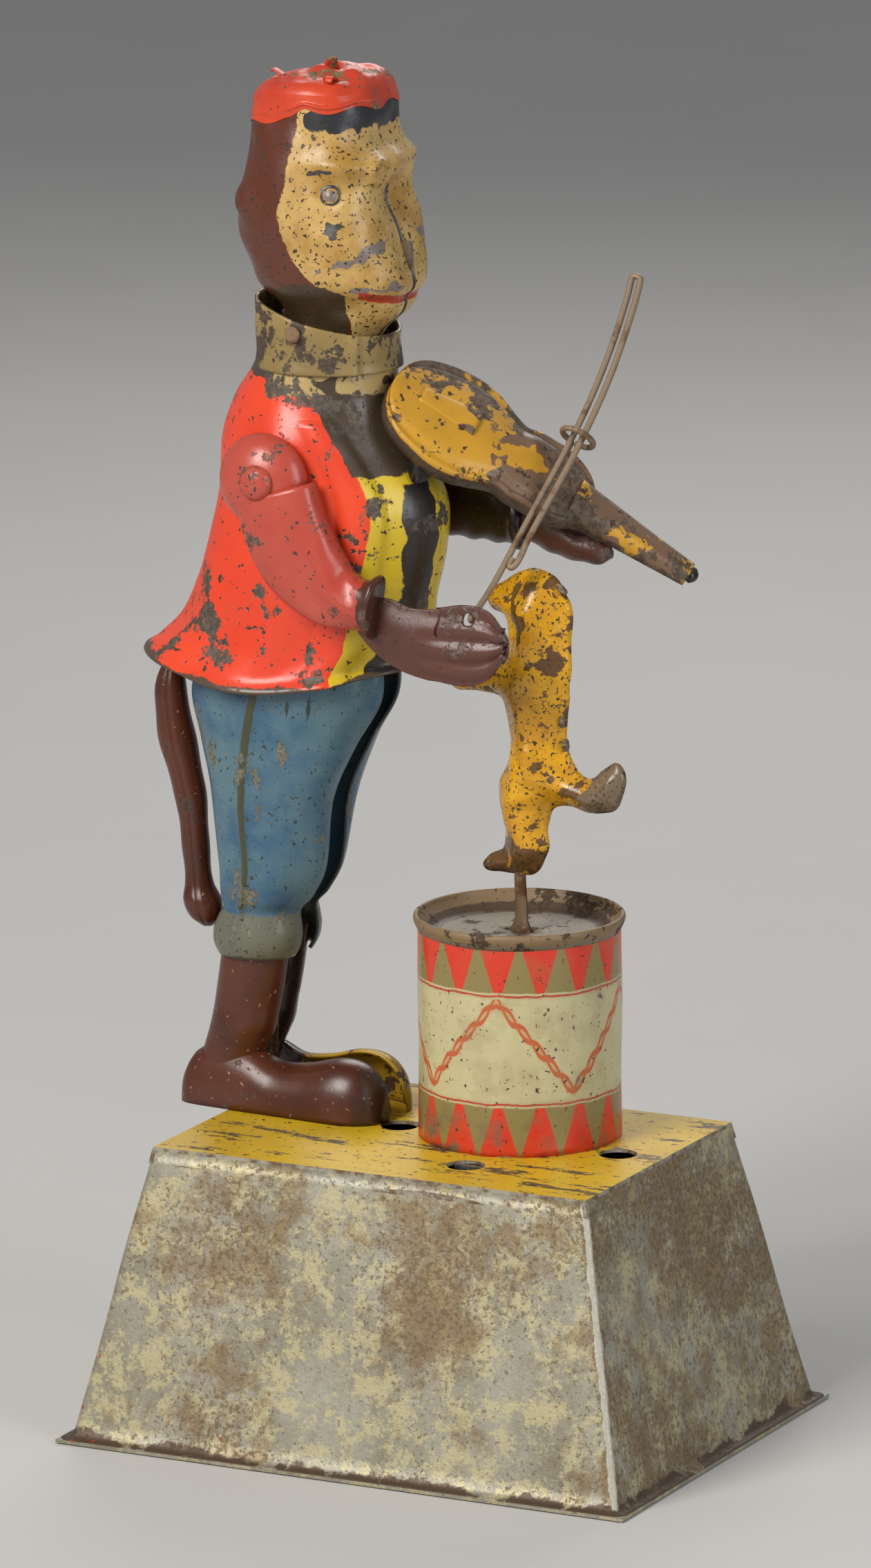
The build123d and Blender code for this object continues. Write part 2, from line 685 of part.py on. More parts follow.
cap_plane = Plane(origin=(-22.3, figure_y, 190.2), x_dir=(0, -1, 0),
                  z_dir=Vector(0, 0, 1).rotate(Axis.Y, -cap_tilt))
cap_radius = 10.6
cap_height = 8.6
with BuildPart() as cap:
    with BuildSketch(Plane(origin=cap_plane.origin, x_dir=cap_plane.x_dir,
                           z_dir=-cap_plane.y_dir)) as profile:
        with BuildLine():
            Polyline((0, cap_height + 0.7), (cap_radius - 3.2, cap_height),
                     (cap_radius - 0.9, cap_height - 1.6),
                     (cap_radius, 0), (cap_radius - sheet, 0), (cap_radius - 0.9 - sheet, cap_height - 1.8),
                     (cap_radius - 3.3, cap_height - sheet), (0, cap_height + 0.7 - sheet), close=True)
        make_face()
    revolve(profile.sketch, axis=Axis(cap_plane.origin, cap_plane.z_dir))
save(cap, "cap")

# ---------------------------------------------------------------- trousers, legs, tail
leg_inner_y = figure_y - leg_gap / 2
trouser_sections = ((113.0, -23.8, leg_inner_y, 12.4, 8.4),
                    (106.0, -24.8, leg_inner_y, 14.2, 9.4),
                    (99.0, -25.2, leg_inner_y, 12.8, 8.8),
                    (91.0, -25.6, leg_inner_y, 10.6, 7.8),
                    (80.0, -26.6, leg_inner_y, 9.4, 6.8),
                    (71.5, -28.2, leg_inner_y, 7.8, 6.2),
                    (66.8, -30.0, leg_inner_y, 8.3, 6.5))
shin_sections = ((68.6, -30.0, leg_inner_y, 6.2, 4.8),
                 (62.0, -31.2, leg_inner_y, 6.6, 4.7),
                 (56.0, -33.0, leg_inner_y, 5.6, 4.2),
                 (49.0, -36.6, leg_inner_y, 4.6, 3.9))
foot_outline = ((-42.6, base_height), (-43.2, 47.0), (-40.6, 51.5), (-31.8, 51.8), (-28.0, 49.8),
                (-20.0, 51.2),
                (-13.8, 51.0), (-11.2, 47.4), (-12.8, base_height))
foot_depth = 5.4
leg_plane = facing(leg_inner_y)

with BuildPart() as trouser_right:
    add(ellipse_block(trouser_sections))
    add(ellipse_block(trouser_sections, sheet), mode=Mode.SUBTRACT)
    split(bisect_by=leg_plane, keep=Keep.TOP)
save(trouser_right, "trouser_right")

with BuildPart() as leg_right:
    add(ellipse_block(shin_sections))
    extrude(smooth_face(leg_plane, foot_outline), amount=foot_depth)
    add(ellipse_block(shin_sections, sheet), mode=Mode.SUBTRACT)
    extrude(smooth_face(leg_plane, foot_outline, sheet), amount=foot_depth - sheet, mode=Mode.SUBTRACT)
    split(bisect_by=leg_plane, keep=Keep.TOP)
save(leg_right, "leg_right")

for right_piece, left_name in ((trouser_right, "trouser_left"), (leg_right, "leg_left")):
    with BuildPart() as left_piece:
        mirror(right_piece.part, about=seam)
    save(left_piece, left_name)

tail_sections = ((107.6, -47.4, figure_y, 2.0, 2.0),
                 (103.0, -47.4, figure_y, 2.4, 2.4),
                 (97.0, -46.5, figure_y, 2.7, 2.7),
                 (88.0, -44.3, figure_y, 2.4, 2.4),
                 (79.0, -43.4, figure_y, 2.0, 2.0),
                 (73.0, -42.4, figure_y, 2.5, 2.5),
                 (69.4, -41.8, figure_y, 2.0, 2.0))
with BuildPart() as tail:
    add(ellipse_block(tail_sections))
save(tail, "tail")

# ---------------------------------------------------------------- right arm: shaft, lever, sleeve, hand
arm_face_y = figure_y - body_half_width - 0.9        # inner face of the sleeve
sleeve_depth = 4.2
shaft_front_y = arm_face_y - sleeve_depth
shaft_rear_y = figure_y + body_half_width + 0.5
sleeve_outline = ((-22.6, 144.6), (-18.0, 143.6), (-15.2, 140.6), (-14.0, 133.6), (-10.4, 128.4),
                  (-4.8, 126.6),
                  (-7.2, 120.8), (-12.0, 120.4), (-19.4, 122.6), (-24.4, 127.8), (-28.2, 136.2),
                  (-26.8, 142.2))
hand_outline = ((-9.4, 121.2), (-5.4, 126.0), (-0.4, 122.4), (4.6, 124.0), (9.4, 124.4), (13.4, 122.2),
                (14.6, 118.4), (11.8, 114.4), (6.0, 112.4), (0.0, 113.6), (-4.4, 117.0), (-9.0, 119.4))

with BuildPart() as shoulder_shaft:
    disc(shoulder_x, shoulder_z, shoulder_radius, shaft_front_y, shaft_rear_y)
    disc(shoulder_x, shoulder_z, 1.9, shaft_front_y - 0.6, shaft_front_y)
    disc(shoulder_x, shoulder_z, 1.8, shaft_rear_y - 0.4, shaft_rear_y)
save(shoulder_shaft, "shoulder_shaft")

with BuildPart() as shoulder_lever:
    with BuildSketch(facing(beam_y + lever_thickness)):
        with BuildLine():
            Polyline((rod_x - 1.5, shoulder_z - 1.3), (shoulder_x, shoulder_z - 2.4),
                     (shoulder_x, shoulder_z + 2.4),
                     (rod_x - 1.5, shoulder_z + 1.3), close=True)
        make_face()
        with Locations((shoulder_x, shoulder_z)):
            Circle(2.4)
            Circle(shoulder_radius, mode=Mode.SUBTRACT)
        with Locations((rod_x, shoulder_z)):
            Circle(rod_radius + hook_gap, mode=Mode.SUBTRACT)
        with Locations((nod_x, shoulder_z)):
            Circle(nod_wire_radius + hook_gap, mode=Mode.SUBTRACT)
    extrude(amount=lever_thickness)
save(shoulder_lever, "shoulder_lever")

hand_thickness = 1.0
hook_hole = 1.0
hand_plane = facing(bow_hole[1] - bow_wire - 0.25)
with BuildPart() as right_hand:
    extrude(smooth_face(hand_plane, hand_outline, corner=0.7), amount=hand_thickness)
    disc(bow_hole[0], bow_hole[2], hook_hole, shaft_front_y, 0, mode=Mode.SUBTRACT)
save(right_hand, "right_hand")

arm_plane = facing(arm_face_y)
with BuildPart() as right_sleeve:
    extrude(smooth_face(arm_plane, sleeve_outline), amount=sleeve_depth * 0.6)
    extrude(smooth_face(arm_plane.offset(sleeve_depth * 0.6), sleeve_outline, 1.1),
            amount=sleeve_depth * 0.4)
    extrude(smooth_face(arm_plane, sleeve_outline, sheet), amount=sleeve_depth * 0.6 - sheet,
            mode=Mode.SUBTRACT)
    disc(shoulder_x, shoulder_z, shoulder_radius, shaft_front_y, arm_face_y, mode=Mode.SUBTRACT)
    add(right_hand.part, mode=Mode.SUBTRACT)
save(right_sleeve, "right_sleeve")

# ---------------------------------------------------------------- left arm under the violin
left_sections = ((-26.0, 22.9, 137.6, 2.9, 6.0),
                 (-18.0, 22.9, 134.6, 2.9, 6.8),
                 (-10.0, 22.4, 131.6, 3.0, 5.2),
                 (-2.0, 20.6, 130.4, 3.0, 4.0),
                 (4.0, 19.0, 129.6, 2.9, 3.6))
hand_sections = ((4.0, 19.0, 129.6, 1.9, 2.4),
                 (10.0, 17.6, 128.0, 2.4, 2.8),
                 (15.0, 16.8, 126.6, 2.6, 2.6),
                 (19.0, 16.4, 126.0, 1.6, 1.6))


def cross_block(sections):
    """Smooth block through upright ellipses: x, centre y, centre z, half lengths in y and z."""
    faces = []
    for place_x, centre_y, centre_z, half_y, half_z in sections:
        across = Plane(origin=(place_x, centre_y, centre_z), x_dir=(0, 1, 0), z_dir=(1, 0, 0))
        with BuildSketch(across) as slice_face:
            Ellipse(half_y, half_z)
        faces.append(slice_face.sketch)
    return loft(faces, mode=Mode.PRIVATE)


with BuildPart() as left_sleeve:
    add(cross_block(left_sections))
save(left_sleeve, "left_sleeve")
with BuildPart() as left_hand:
    add(cross_block(hand_sections))
save(left_hand, "left_hand")

# ---------------------------------------------------------------- violin
long_way = Vector(1, 0, 0).rotate(Axis.Y, violin_pitch).rotate(Axis.Z, violin_yaw)
top_way = Vector(0, 0, 1).rotate(Axis.X, violin_roll).rotate(Axis.Y, violin_pitch).rotate(Axis.Z,
                                                                                          violin_yaw)
violin_top = Plane(origin=violin_tail, x_dir=long_way, z_dir=top_way)
violin_seat = violin_top.offset(-violin_depth)
violin_outline = ((0.0, 0.0), (1.2, 6.2), (5.2, 9.6), (10.4, 9.8), (14.2, 7.6), (15.2, 5.6), (18.0, 6.4),
                  (22.0, 7.8),
                  (26.4, 6.8), (28.8, 2.4), (28.8, -2.4), (26.4, -6.8), (22.0, -7.8), (18.0, -6.4),
                  (15.2, -5.6),
                  (14.2, -7.6), (10.4, -9.8), (5.2, -9.6), (1.2, -6.2))
with BuildPart() as violin_body:
    extrude(smooth_face(violin_seat, violin_outline), amount=violin_depth * 0.75)
    extrude(smooth_face(violin_top.offset(-violin_depth * 0.25), violin_outline, 1.0),
            amount=violin_depth * 0.25)
    extrude(smooth_face(violin_seat, violin_outline, sheet), amount=violin_depth * 0.75 - sheet,
            mode=Mode.SUBTRACT)
save(violin_body, "violin_body")

neck_outline = ((violin_body_length, 2.3), (violin_length - 6, 1.7), (violin_length - 6, -1.7),
                (violin_body_length, -2.3))
with BuildPart() as violin_neck:
    extrude(smooth_face(violin_seat, neck_outline, corner=0.3), amount=violin_depth)
    extrude(smooth_face(violin_seat, neck_outline, sheet), amount=violin_depth - sheet, mode=Mode.SUBTRACT)
save(violin_neck, "violin_neck")

peg_outline = ((violin_length - 6, 2.2), (violin_length - 1.5, 1.9), (violin_length, 0.6),
               (violin_length, -0.6),
               (violin_length - 1.5, -1.9), (violin_length - 6, -2.2))
with BuildPart() as violin_head:
    extrude(smooth_face(violin_seat, peg_outline, corner=0.4), amount=violin_depth)
save(violin_head, "violin_head")

tailpiece_outline = ((2.5, 1.8), (11.0, 2.6), (11.0, -2.6), (2.5, -1.8))
with BuildPart() as violin_tailpiece:
    extrude(smooth_face(violin_top, tailpiece_outline, corner=0.4), amount=0.6)
save(violin_tailpiece, "violin_tailpiece")

# ---------------------------------------------------------------- bow and its wire guide
bow_start = Vector(*bow_hole)
bow_way = (Vector(*guide_place) - bow_start).normalized()
bow_side = (Vector(1, 0, 0) - bow_way * bow_way.X).normalized()
bow_plane = Plane(origin=bow_start, x_dir=bow_side, z_dir=bow_side.cross(bow_way))
wire_step = 2 * bow_wire + bow_gap
return_start = 9.0
with BuildPart() as bow:
    with BuildLine(bow_plane) as bow_route:
        Line((0, 0), (0, bow_length - wire_step / 2))
        RadiusArc((0, bow_length - wire_step / 2), (wire_step, bow_length - wire_step / 2), wire_step / 2)
        Line((wire_step, bow_length - wire_step / 2), (wire_step, return_start))
    with BuildSketch(Plane(origin=bow_start, z_dir=bow_way)) as bow_end:
        Circle(bow_wire)
    sweep(bow_end.sketch, path=bow_route.line)
    disc(bow_hole[0], bow_hole[2], bow_wire, hand_plane.origin.Y - hand_thickness - 0.5,
         bow_hole[1] + bow_wire)
save(bow, "bow")

guide_centre = Vector(*guide_place) + bow_side * (wire_step / 2)
ring_down = (bow_way * top_way.dot(bow_way) - top_way).normalized()
ring_foot = guide_centre + ring_down * guide_radius
stem_length = (ring_foot - violin_top.origin).dot(top_way)
with BuildPart() as bow_guide:
    ring_plane = Plane(origin=guide_centre, x_dir=bow_side, z_dir=bow_side.cross(bow_way))
    with BuildSketch(ring_plane) as ring_section:
        with Locations((guide_radius, 0)):
            Circle(guide_wire)
    revolve(ring_section.sketch, axis=Axis(guide_centre, bow_way))
    with BuildSketch(Plane(origin=ring_foot - top_way * stem_length, z_dir=top_way)) as stem:
        Circle(guide_wire)
    extrude(stem.sketch, amount=stem_length)
save(bow_guide, "bow_guide")

# ---------------------------------------------------------------- bow tie
tie_outline = ((0.0, 0.9), (4.6, 2.4), (4.6, -2.4), (0.0, -0.9), (-4.6, -2.4), (-4.6, 2.4))
with BuildPart() as bow_tie:
    extrude(smooth_face(Plane(origin=(-9.0, figure_y, 141.2), x_dir=(0, 1, 0), z_dir=(1, 0, 0)),
                        tie_outline,
                        corner=0.4), amount=6.6)
    add(ellipse_block(body_sections), mode=Mode.SUBTRACT)
save(bow_tie, "bow_tie")
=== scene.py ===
import math

import bmesh
import bpy
from mathutils import Matrix, Vector, noise
from mathutils.geometry import delaunay_2d_cdt


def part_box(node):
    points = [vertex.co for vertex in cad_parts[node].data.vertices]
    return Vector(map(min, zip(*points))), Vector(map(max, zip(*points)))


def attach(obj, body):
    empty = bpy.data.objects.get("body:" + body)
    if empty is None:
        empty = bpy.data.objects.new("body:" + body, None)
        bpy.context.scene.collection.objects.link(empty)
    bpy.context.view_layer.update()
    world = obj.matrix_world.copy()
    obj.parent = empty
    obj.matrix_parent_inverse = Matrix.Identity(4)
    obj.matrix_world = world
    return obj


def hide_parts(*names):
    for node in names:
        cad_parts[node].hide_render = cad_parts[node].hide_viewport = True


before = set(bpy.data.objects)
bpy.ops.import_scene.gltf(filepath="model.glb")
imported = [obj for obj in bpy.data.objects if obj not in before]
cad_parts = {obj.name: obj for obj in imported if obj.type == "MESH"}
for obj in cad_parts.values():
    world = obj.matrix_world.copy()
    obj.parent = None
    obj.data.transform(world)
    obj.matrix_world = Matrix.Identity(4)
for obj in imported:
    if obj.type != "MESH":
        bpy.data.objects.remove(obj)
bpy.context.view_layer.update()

mm = 0.001

# ---------------------------------------------------------------- base side wall
# One strip of thin tinplate bent into a tapered box, lapped and soldered at a corner.
# Its foot is turned out into a narrow flange. Once painted cream, it is now mostly bare,
# grey and freckled with rust.


def add_node(tree, kind, props=None, **inputs):
    """Adds a shader node; inputs go by name, or by place as i0, i1 ..."""
    node = tree.nodes.new(kind)
    for key, value in (props or {}).items():
        setattr(node, key, value)
    for key, value in inputs.items():
        by_place = key[0] == "i" and key[1:].isdigit()
        socket = node.inputs[int(key[1:])] if by_place else node.inputs[key.replace("_", " ")]
        if isinstance(value, bpy.types.NodeSocket):
            tree.links.new(value, socket)
        else:
            socket.default_value = value
    return node


def calc(tree, operation, first, second=0.0, third=0.0):
    """One step of arithmetic on sockets or numbers."""
    return add_node(tree, "ShaderNodeMath", {"operation": operation}, i0=first, i1=second, i2=third).outputs[0]


def over(tree, share, under, on_top):
    """Lays one colour over another by a share from 0 to 1."""
    mixed = add_node(tree, "ShaderNodeMix", {"data_type": "RGBA"}, i0=share, i6=under, i7=on_top)
    return mixed.outputs[2]


def ramp(tree, value, low, high):
    """0 below low, 1 above high."""
    return add_node(tree, "ShaderNodeMapRange", {"interpolation_type": "SMOOTHSTEP"},
                    Value=value, From_Min=low, From_Max=high).outputs[0]


def cloud(tree, scale, detail=5.0, roughness=0.6, stretch=(1, 1, 1), shift=0.0):
    """Noise of the given number of lumps per metre, as a 0 to 1 value."""
    place = add_node(tree, "ShaderNodeTexCoord").outputs["Object"]
    moved = add_node(tree, "ShaderNodeMapping", None, Vector=place, Location=(shift, shift, shift), Scale=stretch)
    return add_node(tree, "ShaderNodeTexNoise", None, Vector=moved.outputs[0], Scale=scale, Detail=detail,
                    Roughness=roughness).outputs[0]


def rgb(red, green, blue):
    return (red, green, blue, 1.0)


def fresh_material(name):
    """New material with its node tree and its shader."""
    material = bpy.data.materials.new(name)
    material.use_nodes = True
    return material, material.node_tree, material.node_tree.nodes["Principled BSDF"]


def surface(tree, shader, colour, dull, strength, depth, height):
    """Joins colour, roughness and relief to the shader."""
    tree.links.new(colour, shader.inputs["Base Color"])
    tree.links.new(dull, shader.inputs["Roughness"])
    relief = add_node(tree, "ShaderNodeBump", None, Strength=strength, Distance=depth, Height=height)
    tree.links.new(relief.outputs[0], shader.inputs["Normal"])


def painted_area(tree, name):
    """Reads an area that mark() stored on the mesh; 0 where a piece has none."""
    return add_node(tree, "ShaderNodeAttribute", {"attribute_name": name}).outputs["Fac"]


def put_out(name, content):
    """Puts a mesh, curve or lamp into the scene as an object."""
    piece = bpy.data.objects.new(name, content)
    bpy.context.collection.objects.link(piece)
    return piece


def from_form(name, form):
    """Turns a bmesh form into an object in the scene."""
    mesh = bpy.data.meshes.new(name)
    form.to_mesh(mesh)
    form.free()
    return put_out(name, mesh)


def ring_mesh(name, rings, closed=True, low_cap=False, high_cap=False):
    """Skin through a stack of rings with the same number of points; open at the ends unless capped."""
    count = len(rings[0])
    mesh = bpy.data.meshes.new(name)
    points = [point for ring in rings for point in ring]
    faces = []
    last = count if closed else count - 1
    for row in range(len(rings) - 1):
        for step in range(last):
            after = (step + 1) % count
            faces.append((row * count + step, row * count + after, (row + 1) * count + after,
                          (row + 1) * count + step))
    if low_cap:
        faces.append(tuple(reversed(range(count))))
    if high_cap:
        faces.append(tuple(range((len(rings) - 1) * count, len(rings) * count)))
    mesh.from_pydata([tuple(point) for point in points], [], faces)
    mesh.shade_smooth()
    return put_out(name, mesh)


def settle(piece, material, body, slot, *nodes, thickness=0.0):
    """Gives a piece its material, its sheet thickness and its place in the toy."""
    piece.data.materials.append(material)
    if thickness:
        sheet = piece.modifiers.new("sheet", "SOLIDIFY")
        sheet.thickness = thickness
        sheet.offset = -1.0
    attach(piece, body)
    if nodes:
        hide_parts(*nodes)
    return piece


def mark(piece, name, share_at):
    """Stores a painted area on the piece: share_at gives 0 to 1 for each vertex place in millimetres."""
    values = piece.data.attributes.new(name, "FLOAT", "POINT")
    values.data.foreach_set("value", [share_at(vertex.co / mm) for vertex in piece.data.vertices])


def ripple(place, scale, height, seed=0.0):
    """Smooth random height at a place, for dents in thin tin."""
    return noise.noise(place * scale + Vector((seed, seed, seed))) * height


wall_low, wall_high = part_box("base_side_wall")
top_low, top_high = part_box("base_top_plate")
flange = 1.5 * mm
tin = 0.5 * mm
foot_half = Vector((wall_high.x - flange, wall_high.y - flange))
top_half = Vector((top_high.x - tin, top_high.y - tin))
key_hole = Vector((12.0, 0.0, 18.0)) * mm
key_hole_radius = 3.6 * mm


def crisp_folds(piece):
    """Marks edges that are really folded, so that they stay sharp."""
    piece.data.set_sharp_from_angle(angle=math.radians(38))
    return piece


def box_ring(half_x, half_y, height, corner=0.9 * mm, per_side=52, per_corner=5):
    """Counter-clockwise ring of a rounded rectangle at one height."""
    ring = []
    for turn in range(4):
        along, across = ((half_x, half_y), (half_y, half_x))[turn % 2]
        quarter = Matrix.Rotation(math.radians(90 * turn), 3, "Z")
        for step in range(per_side):
            side = -(across - corner) + 2 * (across - corner) * step / per_side
            ring.append(quarter @ Vector((along, side, height)))
        for step in range(per_corner):
            angle = math.radians(90 * step / per_corner)
            bend = Vector((along - corner + corner * math.cos(angle), across - corner + corner * math.sin(angle),
                           height))
            ring.append(quarter @ bend)
    return ring


def wall_half(height):
    """Half length and half depth of the tapered box at a height."""
    share = min(1.0, max(0.0, height / top_high.z))
    return foot_half.lerp(top_half, share)


def dented(ring, depth, scale=55, seed=0.0):
    """Pushes a ring's points in and out a little, level with its own plane."""
    return [point + Vector((point.x, point.y, 0)).normalized() * ripple(point, scale, depth, seed)
            for point in ring]


wall_rings = []
for spread, lift, corner in ((flange, 1.0, 2.2 * mm), (0.5 * flange, 1.15, 1.8 * mm), (0.3 * mm, 1.5, 1.2 * mm)):
    wall_rings.append(box_ring(foot_half.x + spread, foot_half.y + spread, tin * lift, corner))
wall_rows = 22
wall_foot_z, wall_top_z = 1.3 * mm, wall_high.z - 0.02 * mm
deepest_dent = 0.5 * mm
for row in range(wall_rows + 1):
    height = wall_foot_z + (wall_top_z - wall_foot_z) * row / wall_rows
    half = wall_half(height)
    calm = math.sin(math.pi * row / wall_rows)
    wall_rings.append(dented(box_ring(half.x, half.y, height), deepest_dent * calm, 45, 3.0))
base_wall = crisp_folds(ring_mesh("base_side_wall_tin", wall_rings))


def past_edge(at):
    """How far a place in millimetres lies beyond the wall's corner lines, in x and in y."""
    half = wall_half(at.z * mm) / mm
    return at.x - half.x, at.y + half.y


mark(base_wall, "rust_foot", lambda at: 0.5 + (1.3 - at.z + 1.6 * noise.noise(at * 0.16)) / 4.0)
mark(base_wall, "corner_bright", lambda at: 0.5 + (
    0.55 - math.hypot(past_edge(at)[0] + 0.3, past_edge(at)[1] - 0.3)) / 1.4)
mark(base_wall, "rust_side", lambda at: max(0.0, min(1.0, 0.5 + 0.9 * noise.noise(at * 0.045 + Vector((2, 0, 0)))
                                                     + (0.28 if past_edge(at)[0] > -1.0 else -0.12))))
mark(base_wall, "red_specks", lambda at: 0.5 + (
    noise.noise(at * 0.9 + Vector((5, 5, 5))) - 0.46 - 0.02 * max(0.0, at.x + 18) - 0.012 * max(0.0, at.z - 9)
    - (0.5 if at.y > -28 else 0.0)) / 0.5)


def bare_tin(name):
    """Tinplate gone grey, with a cream bloom, soft brown rust clouds and fine rust grains."""
    material, tree, shader = fresh_material(name)
    rubbed = cloud(tree, 90, 6, 0.7, stretch=(1, 1, 0.6), shift=2.0)
    fine = cloud(tree, 1500, 4, 0.75, shift=7.0)
    colour = over(tree, ramp(tree, rubbed, 0.35, 0.65), rgb(0.225, 0.205, 0.145), rgb(0.330, 0.310, 0.245))
    bloom = ramp(tree, calc(tree, "MULTIPLY_ADD", fine, 0.22, cloud(tree, 210, 9, 0.8, shift=5.0)), 0.60, 0.66)
    colour = over(tree, calc(tree, "MULTIPLY", bloom, 0.7), colour, rgb(0.50, 0.435, 0.235))
    rusty = painted_area(tree, "rust_side")
    stain = ramp(tree, calc(tree, "MULTIPLY_ADD", rusty, 0.20, cloud(tree, 120, 9, 0.78, shift=9.0)), 0.56, 0.72)
    colour = over(tree, calc(tree, "MULTIPLY", stain, 0.75), colour, rgb(0.185, 0.112, 0.045))
    grains = ramp(tree, calc(tree, "MULTIPLY_ADD", rusty, 0.12, cloud(tree, 1300, 4, 0.7, shift=4.0)), 0.60, 0.66)
    colour = over(tree, calc(tree, "MULTIPLY", grains, 0.7), colour, rgb(0.135, 0.085, 0.038))
    for zone, paint in (("rust_foot", rgb(0.085, 0.052, 0.03)), ("red_specks", rgb(0.36, 0.03, 0.015)),
                        ("corner_bright", rgb(0.46, 0.43, 0.35))):
        uneven = calc(tree, "MULTIPLY_ADD", cloud(tree, 500, 4, shift=3.0), 0.8, -0.4)
        colour = over(tree, ramp(tree, calc(tree, "ADD", painted_area(tree, zone), uneven), 0.44, 0.56), colour,
                      paint)
    shader.inputs["Metallic"].default_value = 0.3
    surface(tree, shader, colour, calc(tree, "MULTIPLY_ADD", grains, 0.2,
                                       calc(tree, "MULTIPLY_ADD", fine, 0.25, 0.30)),
            0.3, 0.3 * mm, calc(tree, "MULTIPLY_ADD", grains, -0.6, calc(tree, "ADD", rubbed, fine)))
    return material


tin_grey = bare_tin("base_tin_grey")
cutter_form = bmesh.new()
bmesh.ops.create_cone(cutter_form, cap_ends=True, segments=48, radius1=key_hole_radius, radius2=key_hole_radius,
                      depth=30 * mm, matrix=Matrix.Translation(Vector((key_hole.x, foot_half.y, key_hole.z)))
                      @ Matrix.Rotation(math.radians(90), 4, "X"))
cutter = from_form("key_hole_cutter", cutter_form)


def fix_shape(piece):
    """Works a piece's modifiers into its own mesh."""
    graph = bpy.context.evaluated_depsgraph_get()
    shaped = bpy.data.meshes.new_from_object(piece.evaluated_get(graph), preserve_all_data_layers=True,
                                             depsgraph=graph)
    piece.modifiers.clear()
    piece.data = shaped
    return piece


settle(base_wall, tin_grey, "base", "base_tin", "base_side_wall", thickness=tin)
hole_cut = base_wall.modifiers.new("key_hole", "BOOLEAN")
hole_cut.object = cutter
hole_cut.operation = "DIFFERENCE"
fix_shape(base_wall)
bpy.data.objects.remove(cutter)

# ---------------------------------------------------------------- top plate and works
# The yellow top plate is a pressed lid whose edge is folded down over the wall. Below it
# the steel plates, brass wheels and blued spring of the clockwork are left as made.


def dress(material, *nodes):
    """Gives made pieces of the works their finish."""
    for node in nodes:
        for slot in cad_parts[node].material_slots:
            slot.material = material


def darker(paint, share):
    return tuple(share * channel for channel in paint[:3]) + (1.0,)


def enamel(name, paint, worn, chips=0.5, lumps=220, freckles=0.0, freckle=rgb(0.05, 0.03, 0.02), gloss=0.38,
           zones=(), tone=0.35, metal=0.0, relief=0.25, edge=0.1, streak=(1, 1, 1), shade=None):
    """Old enamel on tin: uneven paint, chips down to the metal, dark freckles. zones are painted areas,
    each the name of a vertex value on the mesh and its colour; chips is the share that has flaked off."""
    material, tree, shader = fresh_material(name)
    colour = over(tree, calc(tree, "MULTIPLY", ramp(tree, cloud(tree, lumps * 0.4, 5), 0.38, 0.66), tone), paint,
                  shade or darker(paint, 0.45))
    ragged = calc(tree, "MULTIPLY_ADD", cloud(tree, lumps * 4, 3, shift=3.0), edge * 4, -edge * 2)
    for zone, zone_paint in zones:
        share = ramp(tree, calc(tree, "ADD", painted_area(tree, zone), ragged), 0.46, 0.54)
        colour = over(tree, share, colour, zone_paint)
    fine = cloud(tree, lumps * 9, 4, 0.7, shift=7.0)
    broad = cloud(tree, lumps, 7, 0.68, stretch=streak, shift=1.0)
    bare = ramp(tree, calc(tree, "MULTIPLY_ADD", fine, 0.12, calc(tree, "SUBTRACT", broad, 0.06)),
                0.72 - 0.3 * chips, 0.745 - 0.3 * chips)
    worn_tone = over(tree, ramp(tree, fine, 0.35, 0.65), worn, darker(worn, 0.4))
    colour = over(tree, bare, colour, worn_tone)
    specks = calc(tree, "MULTIPLY", ramp(tree, cloud(tree, lumps * 6, 2, shift=11.0), 0.74 - freckles * 0.2,
                                         0.77 - freckles * 0.2), min(1.0, freckles * 3))
    colour = over(tree, specks, colour, freckle)
    dull = calc(tree, "MULTIPLY_ADD", bare, 0.25, calc(tree, "MULTIPLY_ADD", fine, 0.16, gloss - 0.08))
    if metal:
        tree.links.new(calc(tree, "MULTIPLY", bare, metal), shader.inputs["Metallic"])
    height = calc(tree, "MULTIPLY_ADD", bare, -0.6, calc(tree, "MULTIPLY_ADD", specks, -0.5,
                                                       calc(tree, "MULTIPLY", broad, 0.5)))
    surface(tree, shader, colour, dull, relief, 0.4 * mm, height)
    return material


def bare_metal(name, colour, stain, roughness=0.32, lumps=260, metal=1.0, spots=0.4):
    """Uncoated metal with stains and fine scratches."""
    material, tree, shader = fresh_material(name)
    patches = ramp(tree, cloud(tree, lumps, 7, 0.66), 0.66 - 0.3 * spots, 0.8 - 0.3 * spots)
    grain = cloud(tree, lumps * 7, 3, 0.6, shift=4.0)
    body = over(tree, calc(tree, "MULTIPLY", grain, 0.35), colour, darker(colour, 0.55))
    shader.inputs["Metallic"].default_value = metal
    surface(tree, shader, over(tree, patches, body, stain),
            calc(tree, "MULTIPLY_ADD", patches, 0.32, calc(tree, "MULTIPLY_ADD", grain, 0.2, roughness - 0.1)),
            0.2, 0.2 * mm, calc(tree, "MULTIPLY_ADD", patches, 0.7, grain))
    return material


top_yellow = enamel("top_plate_yellow", rgb(0.68, 0.44, 0.018), rgb(0.16, 0.115, 0.045), chips=0.50, lumps=150,
                    freckles=0.5, freckle=rgb(0.07, 0.045, 0.02), gloss=0.3, tone=0.35, relief=0.3,
                    streak=(0.45, 1.7, 1), shade=rgb(0.40, 0.22, 0.01))
